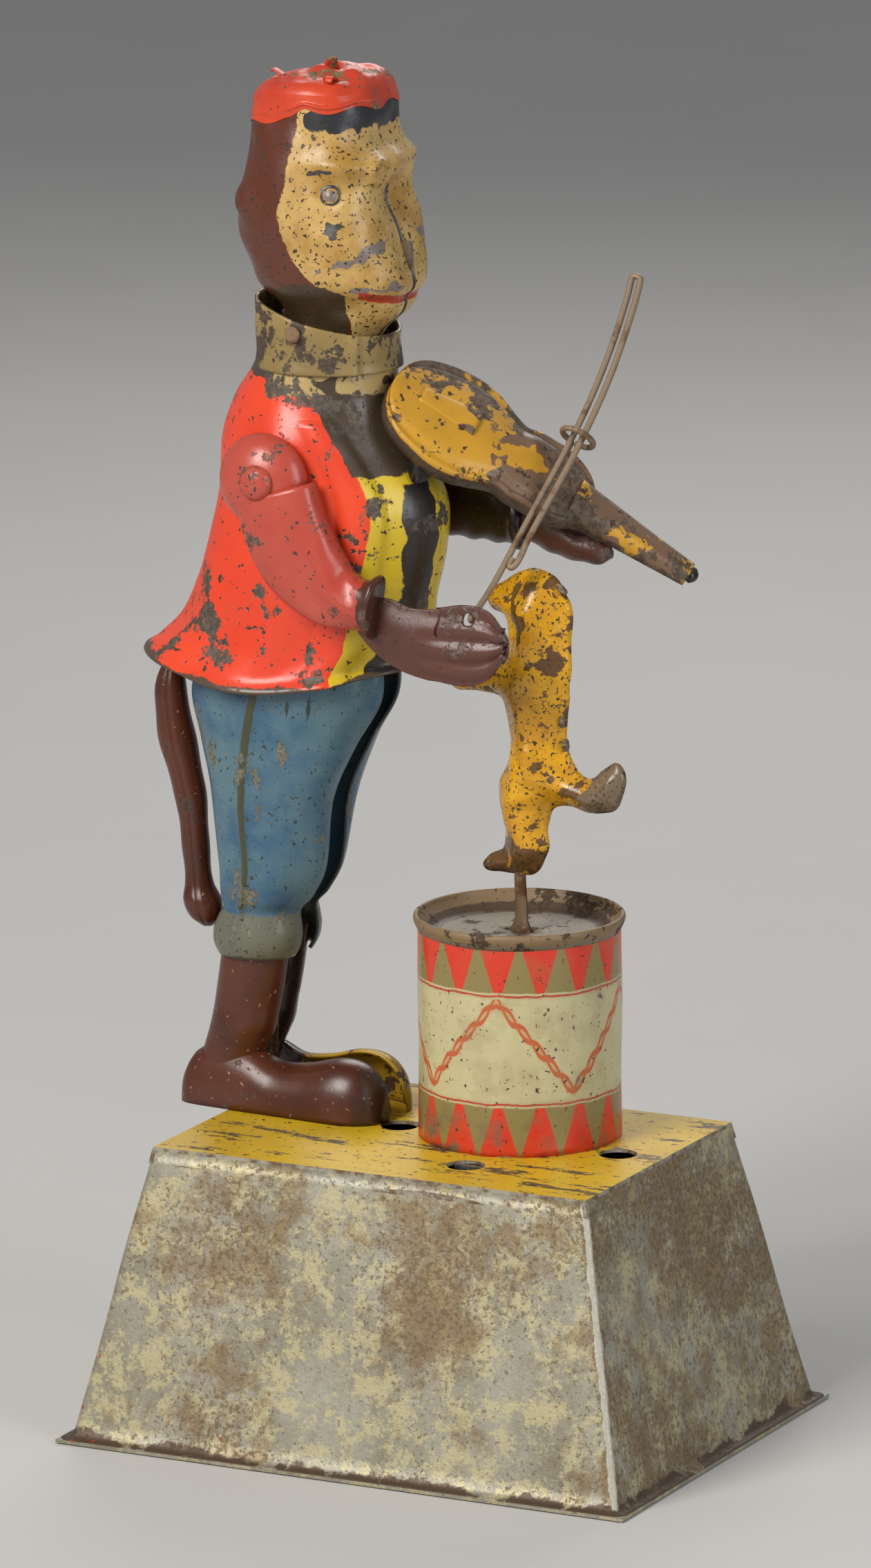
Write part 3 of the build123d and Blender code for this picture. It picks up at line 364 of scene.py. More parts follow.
# the plate's folded edge has lost its yellow, so the paint stays only where the plate faces up
lid_tree = top_yellow.node_tree
lid_colour = lid_tree.nodes["Principled BSDF"].inputs["Base Color"]
lid_facing = add_node(lid_tree, "ShaderNodeNewGeometry").outputs["True Normal"]
lid_up = add_node(lid_tree, "ShaderNodeSeparateXYZ", None, Vector=lid_facing).outputs[2]
lip_tin = over(lid_tree, ramp(lid_tree, cloud(lid_tree, 400, 6, 0.7), 0.42, 0.6),
               rgb(0.30, 0.27, 0.20), rgb(0.12, 0.075, 0.04))
lid_tree.links.new(over(lid_tree, ramp(lid_tree, lid_up, 0.85, 0.95), lip_tin, lid_colour.links[0].from_socket),
                   lid_colour)
works_steel = bare_metal("works_steel", rgb(0.42, 0.41, 0.39), rgb(0.12, 0.07, 0.04), 0.34)
works_brass = bare_metal("works_brass", rgb(0.60, 0.42, 0.16), rgb(0.20, 0.11, 0.04), 0.3)
blued_steel = bare_metal("blued_spring", rgb(0.10, 0.11, 0.14), rgb(0.14, 0.07, 0.03), 0.28)
rusty_strip = bare_metal("rusty_steel", rgb(0.27, 0.18, 0.11), rgb(0.13, 0.055, 0.025), 0.5, metal=0.6, spots=0.9)
key_steel = bare_metal("key_steel", rgb(0.46, 0.44, 0.41), rgb(0.16, 0.09, 0.05), 0.3, lumps=180)
dress(top_yellow, "base_top_plate")
dress(tin_grey, "base_bottom_plate")
dress(works_steel, "front_movement_plate", "rear_movement_plate", "frame_pillars", "rocker_stud", "winding_arbor",
      "click_rivet", "second_arbor", "crank_arbor", "fly_arbor", "fly_vanes", "rocker_beam", "click", "nod_plate",
      "shoulder_lever")
dress(works_brass, "great_wheel", "second_wheel", "crank_wheel", "eccentric", "ratchet_wheel")
dress(blued_steel, "mainspring", "click_spring")
dress(rusty_strip, "drive_rod", "nod_wire", "nod_pin", "shoulder_shaft")
dress(key_steel, "winding_key")

# ---------------------------------------------------------------- drum
# A lithographed tin band rolled into a cylinder, with a separate rusty head pressed in and
# its rim rolled over. The band is printed with ropes between two rows of pointed flags.
drum_low, drum_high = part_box("drum_shell")
head_low, head_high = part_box("drum_head")
drum_centre = Vector(((drum_low.x + drum_high.x) / 2, (drum_low.y + drum_high.y) / 2, 0))
drum_radius = (drum_high.x - drum_low.x) / 2
drum_height = drum_high.z - drum_low.z
band_height = 7.8 * mm       # each band of flags
flags_round, flag_phase = 15, 0.333
ropes_round, rope_phase = 4, 0.711


def turned(name, centre, profile, around=160, wobble=0.0):
    """Turns a profile of (radius, height) about an upright axis, in metres."""
    rings = []
    for radius, height in profile:
        ring = []
        for step in range(around):
            angle = math.tau * step / around
            place = centre + Vector((radius * math.cos(angle), radius * math.sin(angle), height))
            out = Vector((math.cos(angle), math.sin(angle), 0))
            ring.append(place + out * ripple(place, 70, wobble, 9.0))
        rings.append(ring)
    return ring_mesh(name, rings)


band_rows = 30
shell_profile = [(drum_radius, drum_low.z + drum_height * row / band_rows) for row in range(band_rows + 1)]
drum_band = turned("drum_band", drum_centre, shell_profile, 180, 0.22 * mm)


def drum_print():
    """Printed drum paper: red flag bands top and bottom, twisted ropes in the middle."""
    material, tree, shader = fresh_material("drum_print")
    place = add_node(tree, "ShaderNodeTexCoord").outputs["Object"]
    parts = add_node(tree, "ShaderNodeSeparateXYZ", None, Vector=place)
    east = calc(tree, "SUBTRACT", parts.outputs[0], drum_centre.x)
    north = calc(tree, "SUBTRACT", parts.outputs[1], drum_centre.y)
    wander = calc(tree, "MULTIPLY_ADD", cloud(tree, 260, 3, shift=2.0), 0.0008, -0.0004)
    height = calc(tree, "ADD", calc(tree, "SUBTRACT", parts.outputs[2], drum_low.z), wander)
    turn = calc(tree, "DIVIDE", calc(tree, "ARCTAN2", north, east), math.tau)
    cream, red = rgb(0.50, 0.45, 0.25), rgb(0.60, 0.032, 0.010)
    gold, line = rgb(0.235, 0.185, 0.060), rgb(0.42, 0.04, 0.015)
    flag_turn, rope_wave = (
        calc(tree, "PINGPONG", calc(tree, "MULTIPLY_ADD", turn, 2 * times, 2 * times + phase), 1.0)
        for times, phase in ((flags_round, flag_phase), (ropes_round, rope_phase)))
    middle_low, middle_high = band_height, drum_height - band_height
    rope_reach = (middle_high - middle_low) * 0.85
    rope_base = middle_low + (middle_high - middle_low) * 0.105
    along = calc(tree, "MULTIPLY_ADD", rope_wave, rope_reach, rope_base)
    off_rope = calc(tree, "MULTIPLY", calc(tree, "SUBTRACT", height, along), 0.68)
    twist = calc(tree, "MULTIPLY", calc(tree, "SINE", calc(tree, "MULTIPLY", rope_wave, 17.0)), 0.52 * mm)
    colour = cream
    for way in (1.0, -1.0):
        off_strand = calc(tree, "ABSOLUTE", calc(tree, "MULTIPLY_ADD", twist, way, off_rope))
        strand = ramp(tree, off_strand, 0.36 * mm, 0.20 * mm)
        colour = over(tree, strand, colour, rgb(0.50, 0.075, 0.02))
    rope_core = ramp(tree, calc(tree, "ABSOLUTE", off_rope), 0.75 * mm, 0.55 * mm)
    colour = over(tree, calc(tree, "MULTIPLY", rope_core, 0.35), colour, rgb(0.45, 0.16, 0.04))
    for low, high, point_up in ((0.0, middle_low, False), (middle_high, drum_height, True)):
        inside = calc(tree, "MULTIPLY", ramp(tree, height, low - 0.05 * mm, low + 0.05 * mm),
                      ramp(tree, height, high + 0.05 * mm, high - 0.05 * mm))
        share = calc(tree, "DIVIDE", calc(tree, "SUBTRACT", height, low), high - low)
        rise = share if point_up else calc(tree, "SUBTRACT", 1.0, share)
        flag = ramp(tree, calc(tree, "SUBTRACT", calc(tree, "SUBTRACT", flag_turn, 0.14),
                               calc(tree, "MULTIPLY", rise, 0.78)), 0.0, 0.05)
        colour = over(tree, inside, colour, over(tree, flag, red, gold))
    for at in (middle_low, middle_high):
        off_line = calc(tree, "ABSOLUTE", calc(tree, "SUBTRACT", height, at))
        colour = over(tree, ramp(tree, off_line, 0.55 * mm, 0.4 * mm), colour, over(tree, 0.15, cream, gold))
        colour = over(tree, ramp(tree, off_line, 0.2 * mm, 0.1 * mm), colour, line)
    fine = cloud(tree, 1900, 4, 0.7, shift=7.0)
    broad = cloud(tree, 200, 7, 0.68, shift=1.0)
    bare = ramp(tree, calc(tree, "MULTIPLY_ADD", fine, 0.12, calc(tree, "SUBTRACT", broad, 0.06)), 0.64, 0.67)
    worn_foot = calc(tree, "MULTIPLY", ramp(tree, height, 9 * mm, 1 * mm),
                     ramp(tree, cloud(tree, 90, 3, shift=6.0), 0.46, 0.56))
    colour = over(tree, calc(tree, "MULTIPLY", ramp(tree, broad, 0.40, 0.66), 0.30), colour,
                  rgb(0.24, 0.15, 0.06))
    bare_tone = over(tree, fine, rgb(0.20, 0.16, 0.11), rgb(0.07, 0.05, 0.03))
    colour = over(tree, calc(tree, "MAXIMUM", bare, worn_foot), colour, bare_tone)
    specks = ramp(tree, cloud(tree, 1300, 2, shift=11.0), 0.66, 0.69)
    colour = over(tree, specks, colour, rgb(0.08, 0.03, 0.015))
    surface(tree, shader, colour, calc(tree, "MULTIPLY_ADD", bare, 0.2,
                                       calc(tree, "MULTIPLY_ADD", fine, 0.14, 0.24)),
            0.25, 0.3 * mm, calc(tree, "MULTIPLY_ADD", bare, -0.8, broad))
    return material


settle(drum_band, drum_print(), "base", "drum_print", "drum_shell", thickness=tin)

bead = 0.65 * mm
dish_floor = head_low.z + tin
dish_profile = [(drum_radius - 0.1 * mm, head_high.z - 4 * bead),
                (drum_radius + 0.15 * mm, head_high.z - 3 * bead)]
for step in range(13):
    angle = math.radians(-40 + 220 * step / 12)
    dish_profile.append((drum_radius + bead * (0.35 + 0.65 * math.cos(angle)),
                         head_high.z - bead + bead * math.sin(angle)))
dish_profile += [(drum_radius - 1.4 * mm, head_high.z - 2.2 * bead),
                 (drum_radius - 1.9 * mm, dish_floor + 0.6 * mm),
                 (drum_radius - 2.8 * mm, dish_floor + 0.25 * mm)]
dish_profile += [(drum_radius * share, dish_floor + 0.3 * mm * (1 - share)) for share in (0.66, 0.5, 0.36, 0.26, 0.19)]
dish_around = 160
drum_dish = turned("drum_dish", drum_centre, dish_profile, dish_around, 0.12 * mm)
# the innermost ring becomes the slot that the dog's strip rises through
slot_turn = math.radians(-10)
slot_half_length, slot_half_width = 2.6 * mm, 0.8 * mm
slot_points = drum_dish.data.vertices[-dish_around:]
for number, vertex in enumerate(slot_points):
    angle = math.tau * number / dish_around - slot_turn
    slot_edge = Vector((slot_half_length * math.copysign(abs(math.cos(angle)) ** 0.5, math.cos(angle)),
                        slot_half_width * math.copysign(abs(math.sin(angle)) ** 0.5, math.sin(angle)), 0))
    vertex.co = drum_centre + Matrix.Rotation(slot_turn, 3, "Z") @ slot_edge + Vector((0, 0, vertex.co.z))
# painted shade: a dark ring all round the corner where the rim's inner wall meets the dish, coloured by the first zone
# of the dish paint
mark(drum_dish, "rim_corner_shade", lambda at: 0.5 + (
    0.9 - abs(drum_radius / mm - 2.4 - (at - drum_centre / mm).to_2d().length)) / 2.0)
mark(drum_dish, "rim", lambda at: 0.5 + (at.z - head_high.z / mm + 2.3 * bead / mm) / 1.2)
dish_rust = enamel("drum_head_rust", rgb(0.200, 0.155, 0.100), rgb(0.105, 0.062, 0.032), chips=0.55, lumps=190,
                   freckles=0.5, gloss=0.5, tone=0.5, metal=0.3, relief=0.5,
                   zones=(("rim_corner_shade", rgb(0.075, 0.045, 0.025)), ("rim", rgb(0.21, 0.135, 0.065))))
settle(drum_dish, dish_rust, "base", "drum_rim", "drum_head", thickness=0.35 * mm)

# ---------------------------------------------------------------- trousers and legs
# Each leg is a tin half pressed over a form, blue with a raised olive stripe and pleats
# gathered at the waist. The shins and feet are separate brown pressings below the cuffs.
seam_y = 6.0                 # the figures' halves meet in this plane, millimetres


def between(table, at):
    """Smooth row of in-between values from a table of (place, values ...)."""
    rows = sorted(table)
    at = min(max(at, rows[0][0]), rows[-1][0])
    index = max(i for i in range(len(rows) - 1) if rows[i][0] <= at)
    low, high = rows[index], rows[index + 1]
    before, after = rows[max(index - 1, 0)], rows[min(index + 2, len(rows) - 1)]
    span = high[0] - low[0]
    t = (at - low[0]) / span
    values = []
    for k in range(1, len(low)):
        leave = span * (high[k] - before[k]) / (high[0] - before[0])
        arrive = span * (after[k] - low[k]) / (after[0] - low[0])
        values.append((2 * t ** 3 - 3 * t ** 2 + 1) * low[k] + (t ** 3 - 2 * t ** 2 + t) * leave
                      + (3 * t ** 2 - 2 * t ** 3) * high[k] + (t ** 3 - t ** 2) * arrive)
    return values


def hump(value, middle, wide):
    """1 at the middle, falling smoothly away to 0."""
    return math.exp(-((value - middle) / wide) ** 2)


def turn_gap(angle, middle):
    """Smallest difference between two angles in degrees."""
    return (angle - middle + 180) % 360 - 180


def outward(angle):
    """Level direction at an angle in degrees, counted from the front of the figure."""
    return Vector((math.cos(math.radians(angle)), math.sin(math.radians(angle)), 0))


def pressing(name, sections, swell=None, start=0, sweep=360, around=120, rows=70, side=1, low_cap=False,
             high_cap=False):
    """Shell through sections of (height, centre x, centre y, half x, half y) in millimetres.
    swell(angle, height) pushes the wall outwards; side -1 mirrors the piece about the seam plane."""
    bottom, top = min(row[0] for row in sections), max(row[0] for row in sections)
    closed = sweep >= 360
    rings = []
    for row in range(rows + 1):
        height = bottom + (top - bottom) * row / rows
        middle_x, middle_y, half_x, half_y = between(sections, height)
        ring = []
        for step in range(around + (0 if closed else 1)):
            angle = start + sweep * step / around
            out = outward(angle)
            place = Vector((middle_x + half_x * out.x, middle_y + half_y * out.y, height))
            if swell:
                place += out * swell(angle, height)
            if side < 0:
                place.y = 2 * seam_y - place.y
            ring.append(place * mm)
        rings.append(ring if side > 0 else ring[::-1])
    return ring_mesh(name, rings, closed, low_cap, high_cap)


trouser_sections = ((113, -25.0, 3.5, 13.4, 9.0), (106, -26.6, 3.5, 15.0, 9.4), (99, -28.0, 3.5, 12.4, 8.8),
                    (91, -29.0, 3.5, 9.6, 7.8), (80, -29.2, 3.5, 8.2, 6.8), (75.5, -30.3, 3.5, 7.1, 6.1),
                    (73.6, -31.0, 3.5, 6.1, 5.4), (72.0, -31.4, 3.5, 6.6, 5.7), (70, -31.7, 3.5, 7.1, 6.1),
                    (68, -31.9, 3.5, 6.9, 5.9), (66.4, -32.0, 3.5, 6.1, 5.2))


def trouser_swell(angle, height):
    pleats = (0.42 * math.cos(math.radians(angle * 11)) * hump(height, 113, 9)
              * (0.6 + 0.4 * math.sin(angle * 0.11)))
    creases = 0.3 * math.cos(math.radians(angle * 5 + height * 9)) * hump(height, 82, 12)
    stripe = 0.75 * hump(turn_gap(angle, 262 + 0.16 * (height - 90)), 0, 6) * (1 - hump(height, 66, 5))
    knee = 0.9 * hump(turn_gap(angle, 318), 0, 34) * hump(height, 92, 7)
    return pleats + creases + stripe + knee


trouser_blue = enamel("trouser_blue", rgb(0.085, 0.165, 0.200), rgb(0.20, 0.185, 0.13), chips=0.42, lumps=240,
                      freckles=0.48, freckle=rgb(0.035, 0.03, 0.02), gloss=0.32, tone=0.75, relief=0.4,
                      streak=(1, 1, 0.5), shade=rgb(0.016, 0.075, 0.165),
                      zones=(("stripe", rgb(0.052, 0.055, 0.028)), ("cuff", rgb(0.125, 0.130, 0.095)),
                             ("waist_shade", rgb(0.03, 0.04, 0.045))))


def trouser_marks(piece, side):
    def turn_at(at):
        middle_x, middle_y, _, _ = between(trouser_sections, at.z)
        across = at.y - middle_y if side > 0 else 2 * seam_y - at.y - middle_y
        return math.degrees(math.atan2(across, at.x - middle_x)) % 360
    mark(piece, "stripe", lambda at: 0.5 + (3.6 - abs(turn_gap(turn_at(at), 262 + 0.16 * (at.z - 90)))) / 10
         if at.z > 74 else 0.0)
    mark(piece, "cuff", lambda at: 0.5 + (73.2 - at.z) / 2.0)
    mark(piece, "waist_shade", lambda at: 0.5 + max(
        (at.z - 112.4) / 3.0, (math.cos(math.radians((turn_at(at) - 296) * 22 + (at.z - 106) * 14)) - 0.55
                               - 0.16 * abs(at.z - 105.8) - 0.02 * abs(turn_gap(turn_at(at), 305))) / 1.2,
        (1.0 + 1.2 * noise.noise(at * 0.3) - 0.55 * min(turn_at(at) - 180, 360 - turn_at(at))) / 3.0))


for trouser, side in (("trouser_right", 1), ("trouser_left", -1)):
    blue_leg = pressing(trouser + "_tin", trouser_sections, trouser_swell, 180, 180, 110, 90, side)
    trouser_marks(blue_leg, side)
    settle(blue_leg, trouser_blue, "base", "trouser_blue", trouser, thickness=tin)

shin_sections = ((70, -31.8, 3.5, 5.3, 4.5), (62, -33.0, 3.5, 5.3, 4.4), (56, -34.3, 3.5, 5.1, 4.1),
                 (51.5, -35.8, 3.5, 5.0, 3.9), (49, -36.8, 3.5, 4.9, 3.8))
foot_top = ((-43.6, 45.4, 1.0), (-43.2, 47.4, 2.6), (-41.4, 50.4, 3.6), (-36.5, 52.2, 4.2), (-31.8, 51.6, 4.6),
            (-28.0, 49.9, 4.8), (-23.0, 50.2, 5.2), (-18.0, 51.4, 5.6), (-14.4, 51.0, 5.2), (-12.0, 49.0, 3.8),
            (-11.0, 46.6, 2.0), (-10.7, 44.6, 0.6))
brown_gloss = enamel("leg_brown", rgb(0.088, 0.022, 0.009), rgb(0.085, 0.045, 0.025), chips=0.40, lumps=170,
                     freckles=0.3, freckle=rgb(0.24, 0.17, 0.10), gloss=0.3, tone=0.7, relief=0.3,
                     zones=(("toe", rgb(0.045, 0.020, 0.012)),))
brown_yellow = enamel("far_foot_yellow", rgb(0.42, 0.25, 0.018), rgb(0.085, 0.04, 0.02), chips=0.55, lumps=230,
                      freckles=0.4, gloss=0.28, tone=0.6, zones=(("toe", rgb(0.06, 0.028, 0.014)),))


def foot_shell(name, side):
    """Boot shape: arches from heel to toe along the base, each from the ground over the top to the seam side."""
    rings = []
    for step in range(49):
        along = foot_top[0][0] + (foot_top[-1][0] - foot_top[0][0]) * step / 48
        crest, spread = between(foot_top, along)
        ring = []
        for turn in range(25):
            angle = math.radians(90 * turn / 24)
            lift = (crest - 43.3) * math.cos(angle) ** 0.75 if turn < 24 else 0.0
            out = spread * math.sin(angle) ** 0.8
            place = Vector((along, 3.5 - out, 43.3 + lift))
            if side < 0:
                place.y = 2 * seam_y - place.y
            ring.append(place * mm)
        rings.append(ring if side < 0 else ring[::-1])
    return ring_mesh(name, rings, closed=False)


for leg, side, paint in (("leg_right", 1, brown_gloss), ("leg_left", -1, brown_yellow)):
    shin = pressing(leg + "_shin", shin_sections, lambda angle, height: 0.5 * hump(height, 55.5, 2.2)
                    * hump(turn_gap(angle, 300), 0, 60), 180, 180, 80, 50, side)
    foot = foot_shell(leg + "_foot", side)
    for piece in (shin, foot):
        if side > 0:
            mark(piece, "toe", lambda at: 0.5 + (at.x + 13.6 + 2 * noise.noise(at * 0.4)) / 4.0 if at.z < 53 else 0.0)
        else:
            mark(piece, "toe", lambda at: 0.5 + (-29.0 - at.x + 0.5 * (at.z - 47) + 3 * noise.noise(at * 0.3)) / 5.0)
    settle(shin, paint, "base", "fur_brown", leg, thickness=tin)
    settle(foot, paint, "base", "fur_brown", leg, thickness=tin)

tail_sections = ((107.6, -47.2, seam_y, 1.6, 1.6), (105.6, -47.4, seam_y, 2.1, 2.1),
                 (103, -47.4, seam_y, 2.4, 2.4),
                 (97, -46.5, seam_y, 2.8, 2.8), (88, -44.3, seam_y, 2.35, 2.35), (79, -43.4, seam_y, 2.0, 2.0),
                 (75, -43.0, seam_y, 2.2, 2.2), (72.6, -42.5, seam_y, 2.8, 2.8), (70.2, -42.0, seam_y, 2.3, 2.3),
                 (68.9, -41.7, seam_y, 0.9, 0.9))
tail = pressing("tail_tin", tail_sections, lambda angle, height: -0.22 * hump(turn_gap(angle, 285), 0, 5)
                + 0.07 * math.sin(height * 0.8), 0, 360, 48, 90, low_cap=True, high_cap=True)
settle(tail, brown_gloss, "base", "fur_brown", "tail")

# ---------------------------------------------------------------- jacket
# Two body halves pressed from tin and tabbed together down the seam. Orange-red jacket with
# raised lapels over a yellow waistcoat, flared at the hem, chipped to grey along the edges.
jacket_sections = ((108, -27.6, seam_y, 20.6, 14.4), (109.5, -27.2, seam_y, 20.0, 14.0),
                   (114, -24.6, seam_y, 19.5, 13.0),
                   (121, -22.8, seam_y, 18.8, 13.0), (129, -20.8, seam_y, 18.5, 13.0),
                   (136, -20.0, seam_y, 17.6, 13.0),
                   (144, -22.0, seam_y, 15.0, 12.0), (150, -22.4, seam_y, 12.4, 10.8),
                   (154, -21.2, seam_y, 10.9, 10.4),
                   (156, -20.9, seam_y, 10.2, 10.2))


def lapel_angle(height):
    """How far round from the front the jacket's opening lies at a height."""
    return between(((106, 46), (111, 45), (118, 46), (129, 45), (137, 45), (144, 50), (151, 66), (157, 90)),
                   height)[0]


def jacket_swell(angle, height):
    side_turn = abs(turn_gap(angle, 0))
    lapel = lapel_angle(height)
    step = 0.6 / (1 + math.exp(-(side_turn - lapel) / 1.1))
    roll = 0.85 * hump(side_turn, lapel + 12, 10) * (height < 148)
    groove = -0.55 * hump(side_turn, lapel + 24.5, 2.4) * hump(height, 128, 13)
    seam = -0.35 * hump(side_turn, 0, 1.6) - 0.3 * hump(side_turn, 180, 2.0)
    folds = 0.35 * math.sin(math.radians(side_turn * 9 + height * 6)) * hump(height, 114, 6)
    hem = 1.0 * hump(height, 108.3, 1.0) + 1.2 * hump(side_turn, 165, 28) * hump(height, 109, 4.5)
    shoulder = 1.2 * hump(side_turn, 92, 26) * hump(height, 145, 5)
    return step + roll + groove + seam + folds + hem + shoulder - 0.5


jacket_red = enamel("jacket_red", rgb(0.74, 0.062, 0.020), rgb(0.115, 0.085, 0.06), chips=0.46, lumps=130,
                    freckles=0.46, freckle=rgb(0.05, 0.035, 0.025), gloss=0.3, tone=0.45, relief=0.4,
                    shade=rgb(0.62, 0.035, 0.012),
                    zones=(("waistcoat", rgb(0.62, 0.44, 0.018)), ("front_strip", rgb(0.022, 0.017, 0.014)),
                           ("bare_edge", rgb(0.085, 0.052, 0.032)), ("worn_neck", rgb(0.060, 0.040, 0.024)),
                           ("neck_cream", rgb(0.42, 0.30, 0.12))))


def jacket_turn(at):
    middle_x, middle_y, _, _ = between(jacket_sections, at.z)
    return abs(math.degrees(math.atan2(at.y - middle_y, at.x - middle_x)))


jacket = pressing("jacket_tin", jacket_sections, jacket_swell, 0, 360, 210, 105)
mark(jacket, "waistcoat", lambda at: 0.5 + (lapel_angle(at.z) - jacket_turn(at)) / 8)
mark(jacket, "front_strip", lambda at: 0.5 + min(
    (24 - jacket_turn(at) + 7 * noise.noise(at * 0.25)) / 12 if at.y < seam_y else -1.0,
    (jacket_turn(at) - 5 + 4 * noise.noise(at * 0.3)) / 8,
    (139.0 - at.z) / 3.0))
mark(jacket, "bare_edge", lambda at: 0.5 + max(
    (108.6 + 1.0 * noise.noise(at * 0.15) - at.z) / 3.0,
    (0.1 + 2.4 * noise.noise(at * 0.2) - 0.3 * abs(jacket_turn(at) - lapel_angle(at.z) - 24.5)
     - 0.05 * abs(at.z - 130)) / 3.0,
    (0.3 + 2.4 * noise.noise(at * 0.3) - 0.5 * math.hypot(at.z - 143.5, 0.16 * (jacket_turn(at) - 84))) / 3.0))
mark(jacket, "worn_neck", lambda at: 0.5 + max(
    min((at.z - 140.4 + 2.0 * noise.noise(at * 0.3)) / 3.0, (lapel_angle(at.z) - jacket_turn(at) + 3) / 9),
    (at.z - 153.8 + 2.2 * noise.noise(at * 0.3)) / 3.0))
mark(jacket, "neck_cream", lambda at: 0.5 + min((at.z - 151.5) / 3.0, (0.9 + 5 * noise.noise(at * 0.35)) / 3.0,
                                                 (110 - jacket_turn(at)) / 9))
# the hem rises towards the front and the back
hem_reach, hem_lift = 124, 3.2
for vertex in jacket.data.vertices:
    level = vertex.co.z / mm
    if level < hem_reach:
        at = Vector((vertex.co.x / mm, vertex.co.y / mm, max(level, 108.0)))
        vertex.co.z += hem_lift * mm * math.cos(math.radians(jacket_turn(at))) ** 2 * (hem_reach - level) / 16
settle(jacket, jacket_red, "base", "jacket_red", "body_right_half", "body_left_half", thickness=tin)

tie_low, tie_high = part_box("bow_tie")
tie_middle = Vector((tie_high.x - 0.9 * mm, (tie_low.y + tie_high.y) / 2, (tie_low.z + tie_high.z) / 2))
tie_rings = []
for step in range(41):
    share = step / 20 - 1
    spread = (0.75 + 2.0 * abs(share) ** 1.2 * (1 - 0.35 * abs(share) ** 8)) * mm
    knot = hump(share, 0, 0.16)
    ring = []
    for turn in range(24):
        angle = math.tau * turn / 24
        deep = (0.75 + 0.5 * knot + 0.12 * math.sin(angle * 4) * abs(share)) * mm
        ring.append(tie_middle + Vector((deep * math.cos(angle) - 1.5 * mm * share * share, 4.9 * mm * share,
                                         (spread + 0.5 * mm * knot) * math.sin(angle))))
    tie_rings.append(ring)
black_gloss = enamel("tie_black", rgb(0.014, 0.013, 0.013), rgb(0.12, 0.09, 0.06), chips=0.42, lumps=420,
                     freckles=0.3,
                     freckle=rgb(0.25, 0.2, 0.12), gloss=0.22, tone=0.3)
settle(ring_mesh("bow_tie_tin", tie_rings, True, True, True), black_gloss, "base", "black", "bow_tie")

# ---------------------------------------------------------------- collar
# A strip of tin bent round and lapped at the front, with a small rivet on each side. The
# edge falls towards the chin. Cream paint worn to brown metal.
collar_low, collar_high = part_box("collar")
collar_middle = Vector((-20.9, seam_y, 0))
collar_radius = (collar_high.y - collar_low.y) / 2 / mm
collar_slope = math.radians(14)


def collar_edge(angle):
    return 162.4 - collar_radius * math.cos(math.radians(angle)) * math.tan(collar_slope)


collar_rings = []
for row in range(19):
    ring = []
    for step in range(140):
        angle = 360 * step / 140
        out = outward(angle)
        height = 154.6 + (collar_edge(angle) - 154.6) * row / 18
        radius = collar_radius + 0.35 * hump(turn_gap(angle, 318), 0, 4) + 0.25 * hump(row, 0, 3)
        radius += (0.7 * max(hump(turn_gap(angle, rivet), 0, 3.4) for rivet in (84, 276))
                   * hump(height, 160.4, 0.62))
        ring.append((collar_middle + out * (radius + ripple(out + Vector((0, 0, row * 0.05)), 2.5, 0.25))
                     + Vector((0, 0, height))) * mm)
    collar_rings.append(ring)
collar_tin = ring_mesh("collar_tin", collar_rings)
collar_cream = enamel("collar_cream", rgb(0.30, 0.205, 0.070), rgb(0.085, 0.055, 0.032), chips=0.74, lumps=190,
                      freckles=0.5, freckle=rgb(0.05, 0.03, 0.02), gloss=0.36, tone=0.45, relief=0.45)
settle(collar_tin, collar_cream, "base", "collar_cream", "collar", thickness=tin)

# ---------------------------------------------------------------- head and cap
# Two deep-drawn halves joined down the middle of the face, where the seam has opened. Broad
# flat face with a boss at the brow, brown hair, and a red cap whose crown is torn and rumpled.
head_middle_x, head_foot = -20.6, 157.0
head_around = 200            # points round the head and the cap
head_rows = ((157.0, 6.2, 6.4, 6.2), (159.0, 7.6, 6.2, 6.6), (161.0, 9.0, 6.0, 6.8), (163.6, 11.8, 6.8, 7.8),
             (167.0, 13.4, 10.1, 10.3), (170.6, 13.4, 11.9, 11.0), (174.0, 13.4, 13.2, 11.6),
             (178.0, 13.0, 13.3, 11.8),
             (182.0, 12.8, 12.4, 11.8), (185.0, 12.4, 11.7, 11.4), (188.0, 11.0, 11.2, 10.7),
             (191.5, 9.6, 10.8, 10.2),
             (195.0, 8.6, 10.7, 9.9), (198.0, 7.6, 10.4, 9.5))


def head_radius(angle, height):
    """Distance from the head's upright axis to its skin, without the small features."""
    front, back, half = between(head_rows, height)
    cos, sin = math.cos(math.radians(angle)), math.sin(math.radians(angle))
    reach, power = (front, 2.6) if cos > 0 else (back, 2.1)
    return ((abs(cos) / reach) ** power + (abs(sin) / half) ** power) ** (-1 / power)


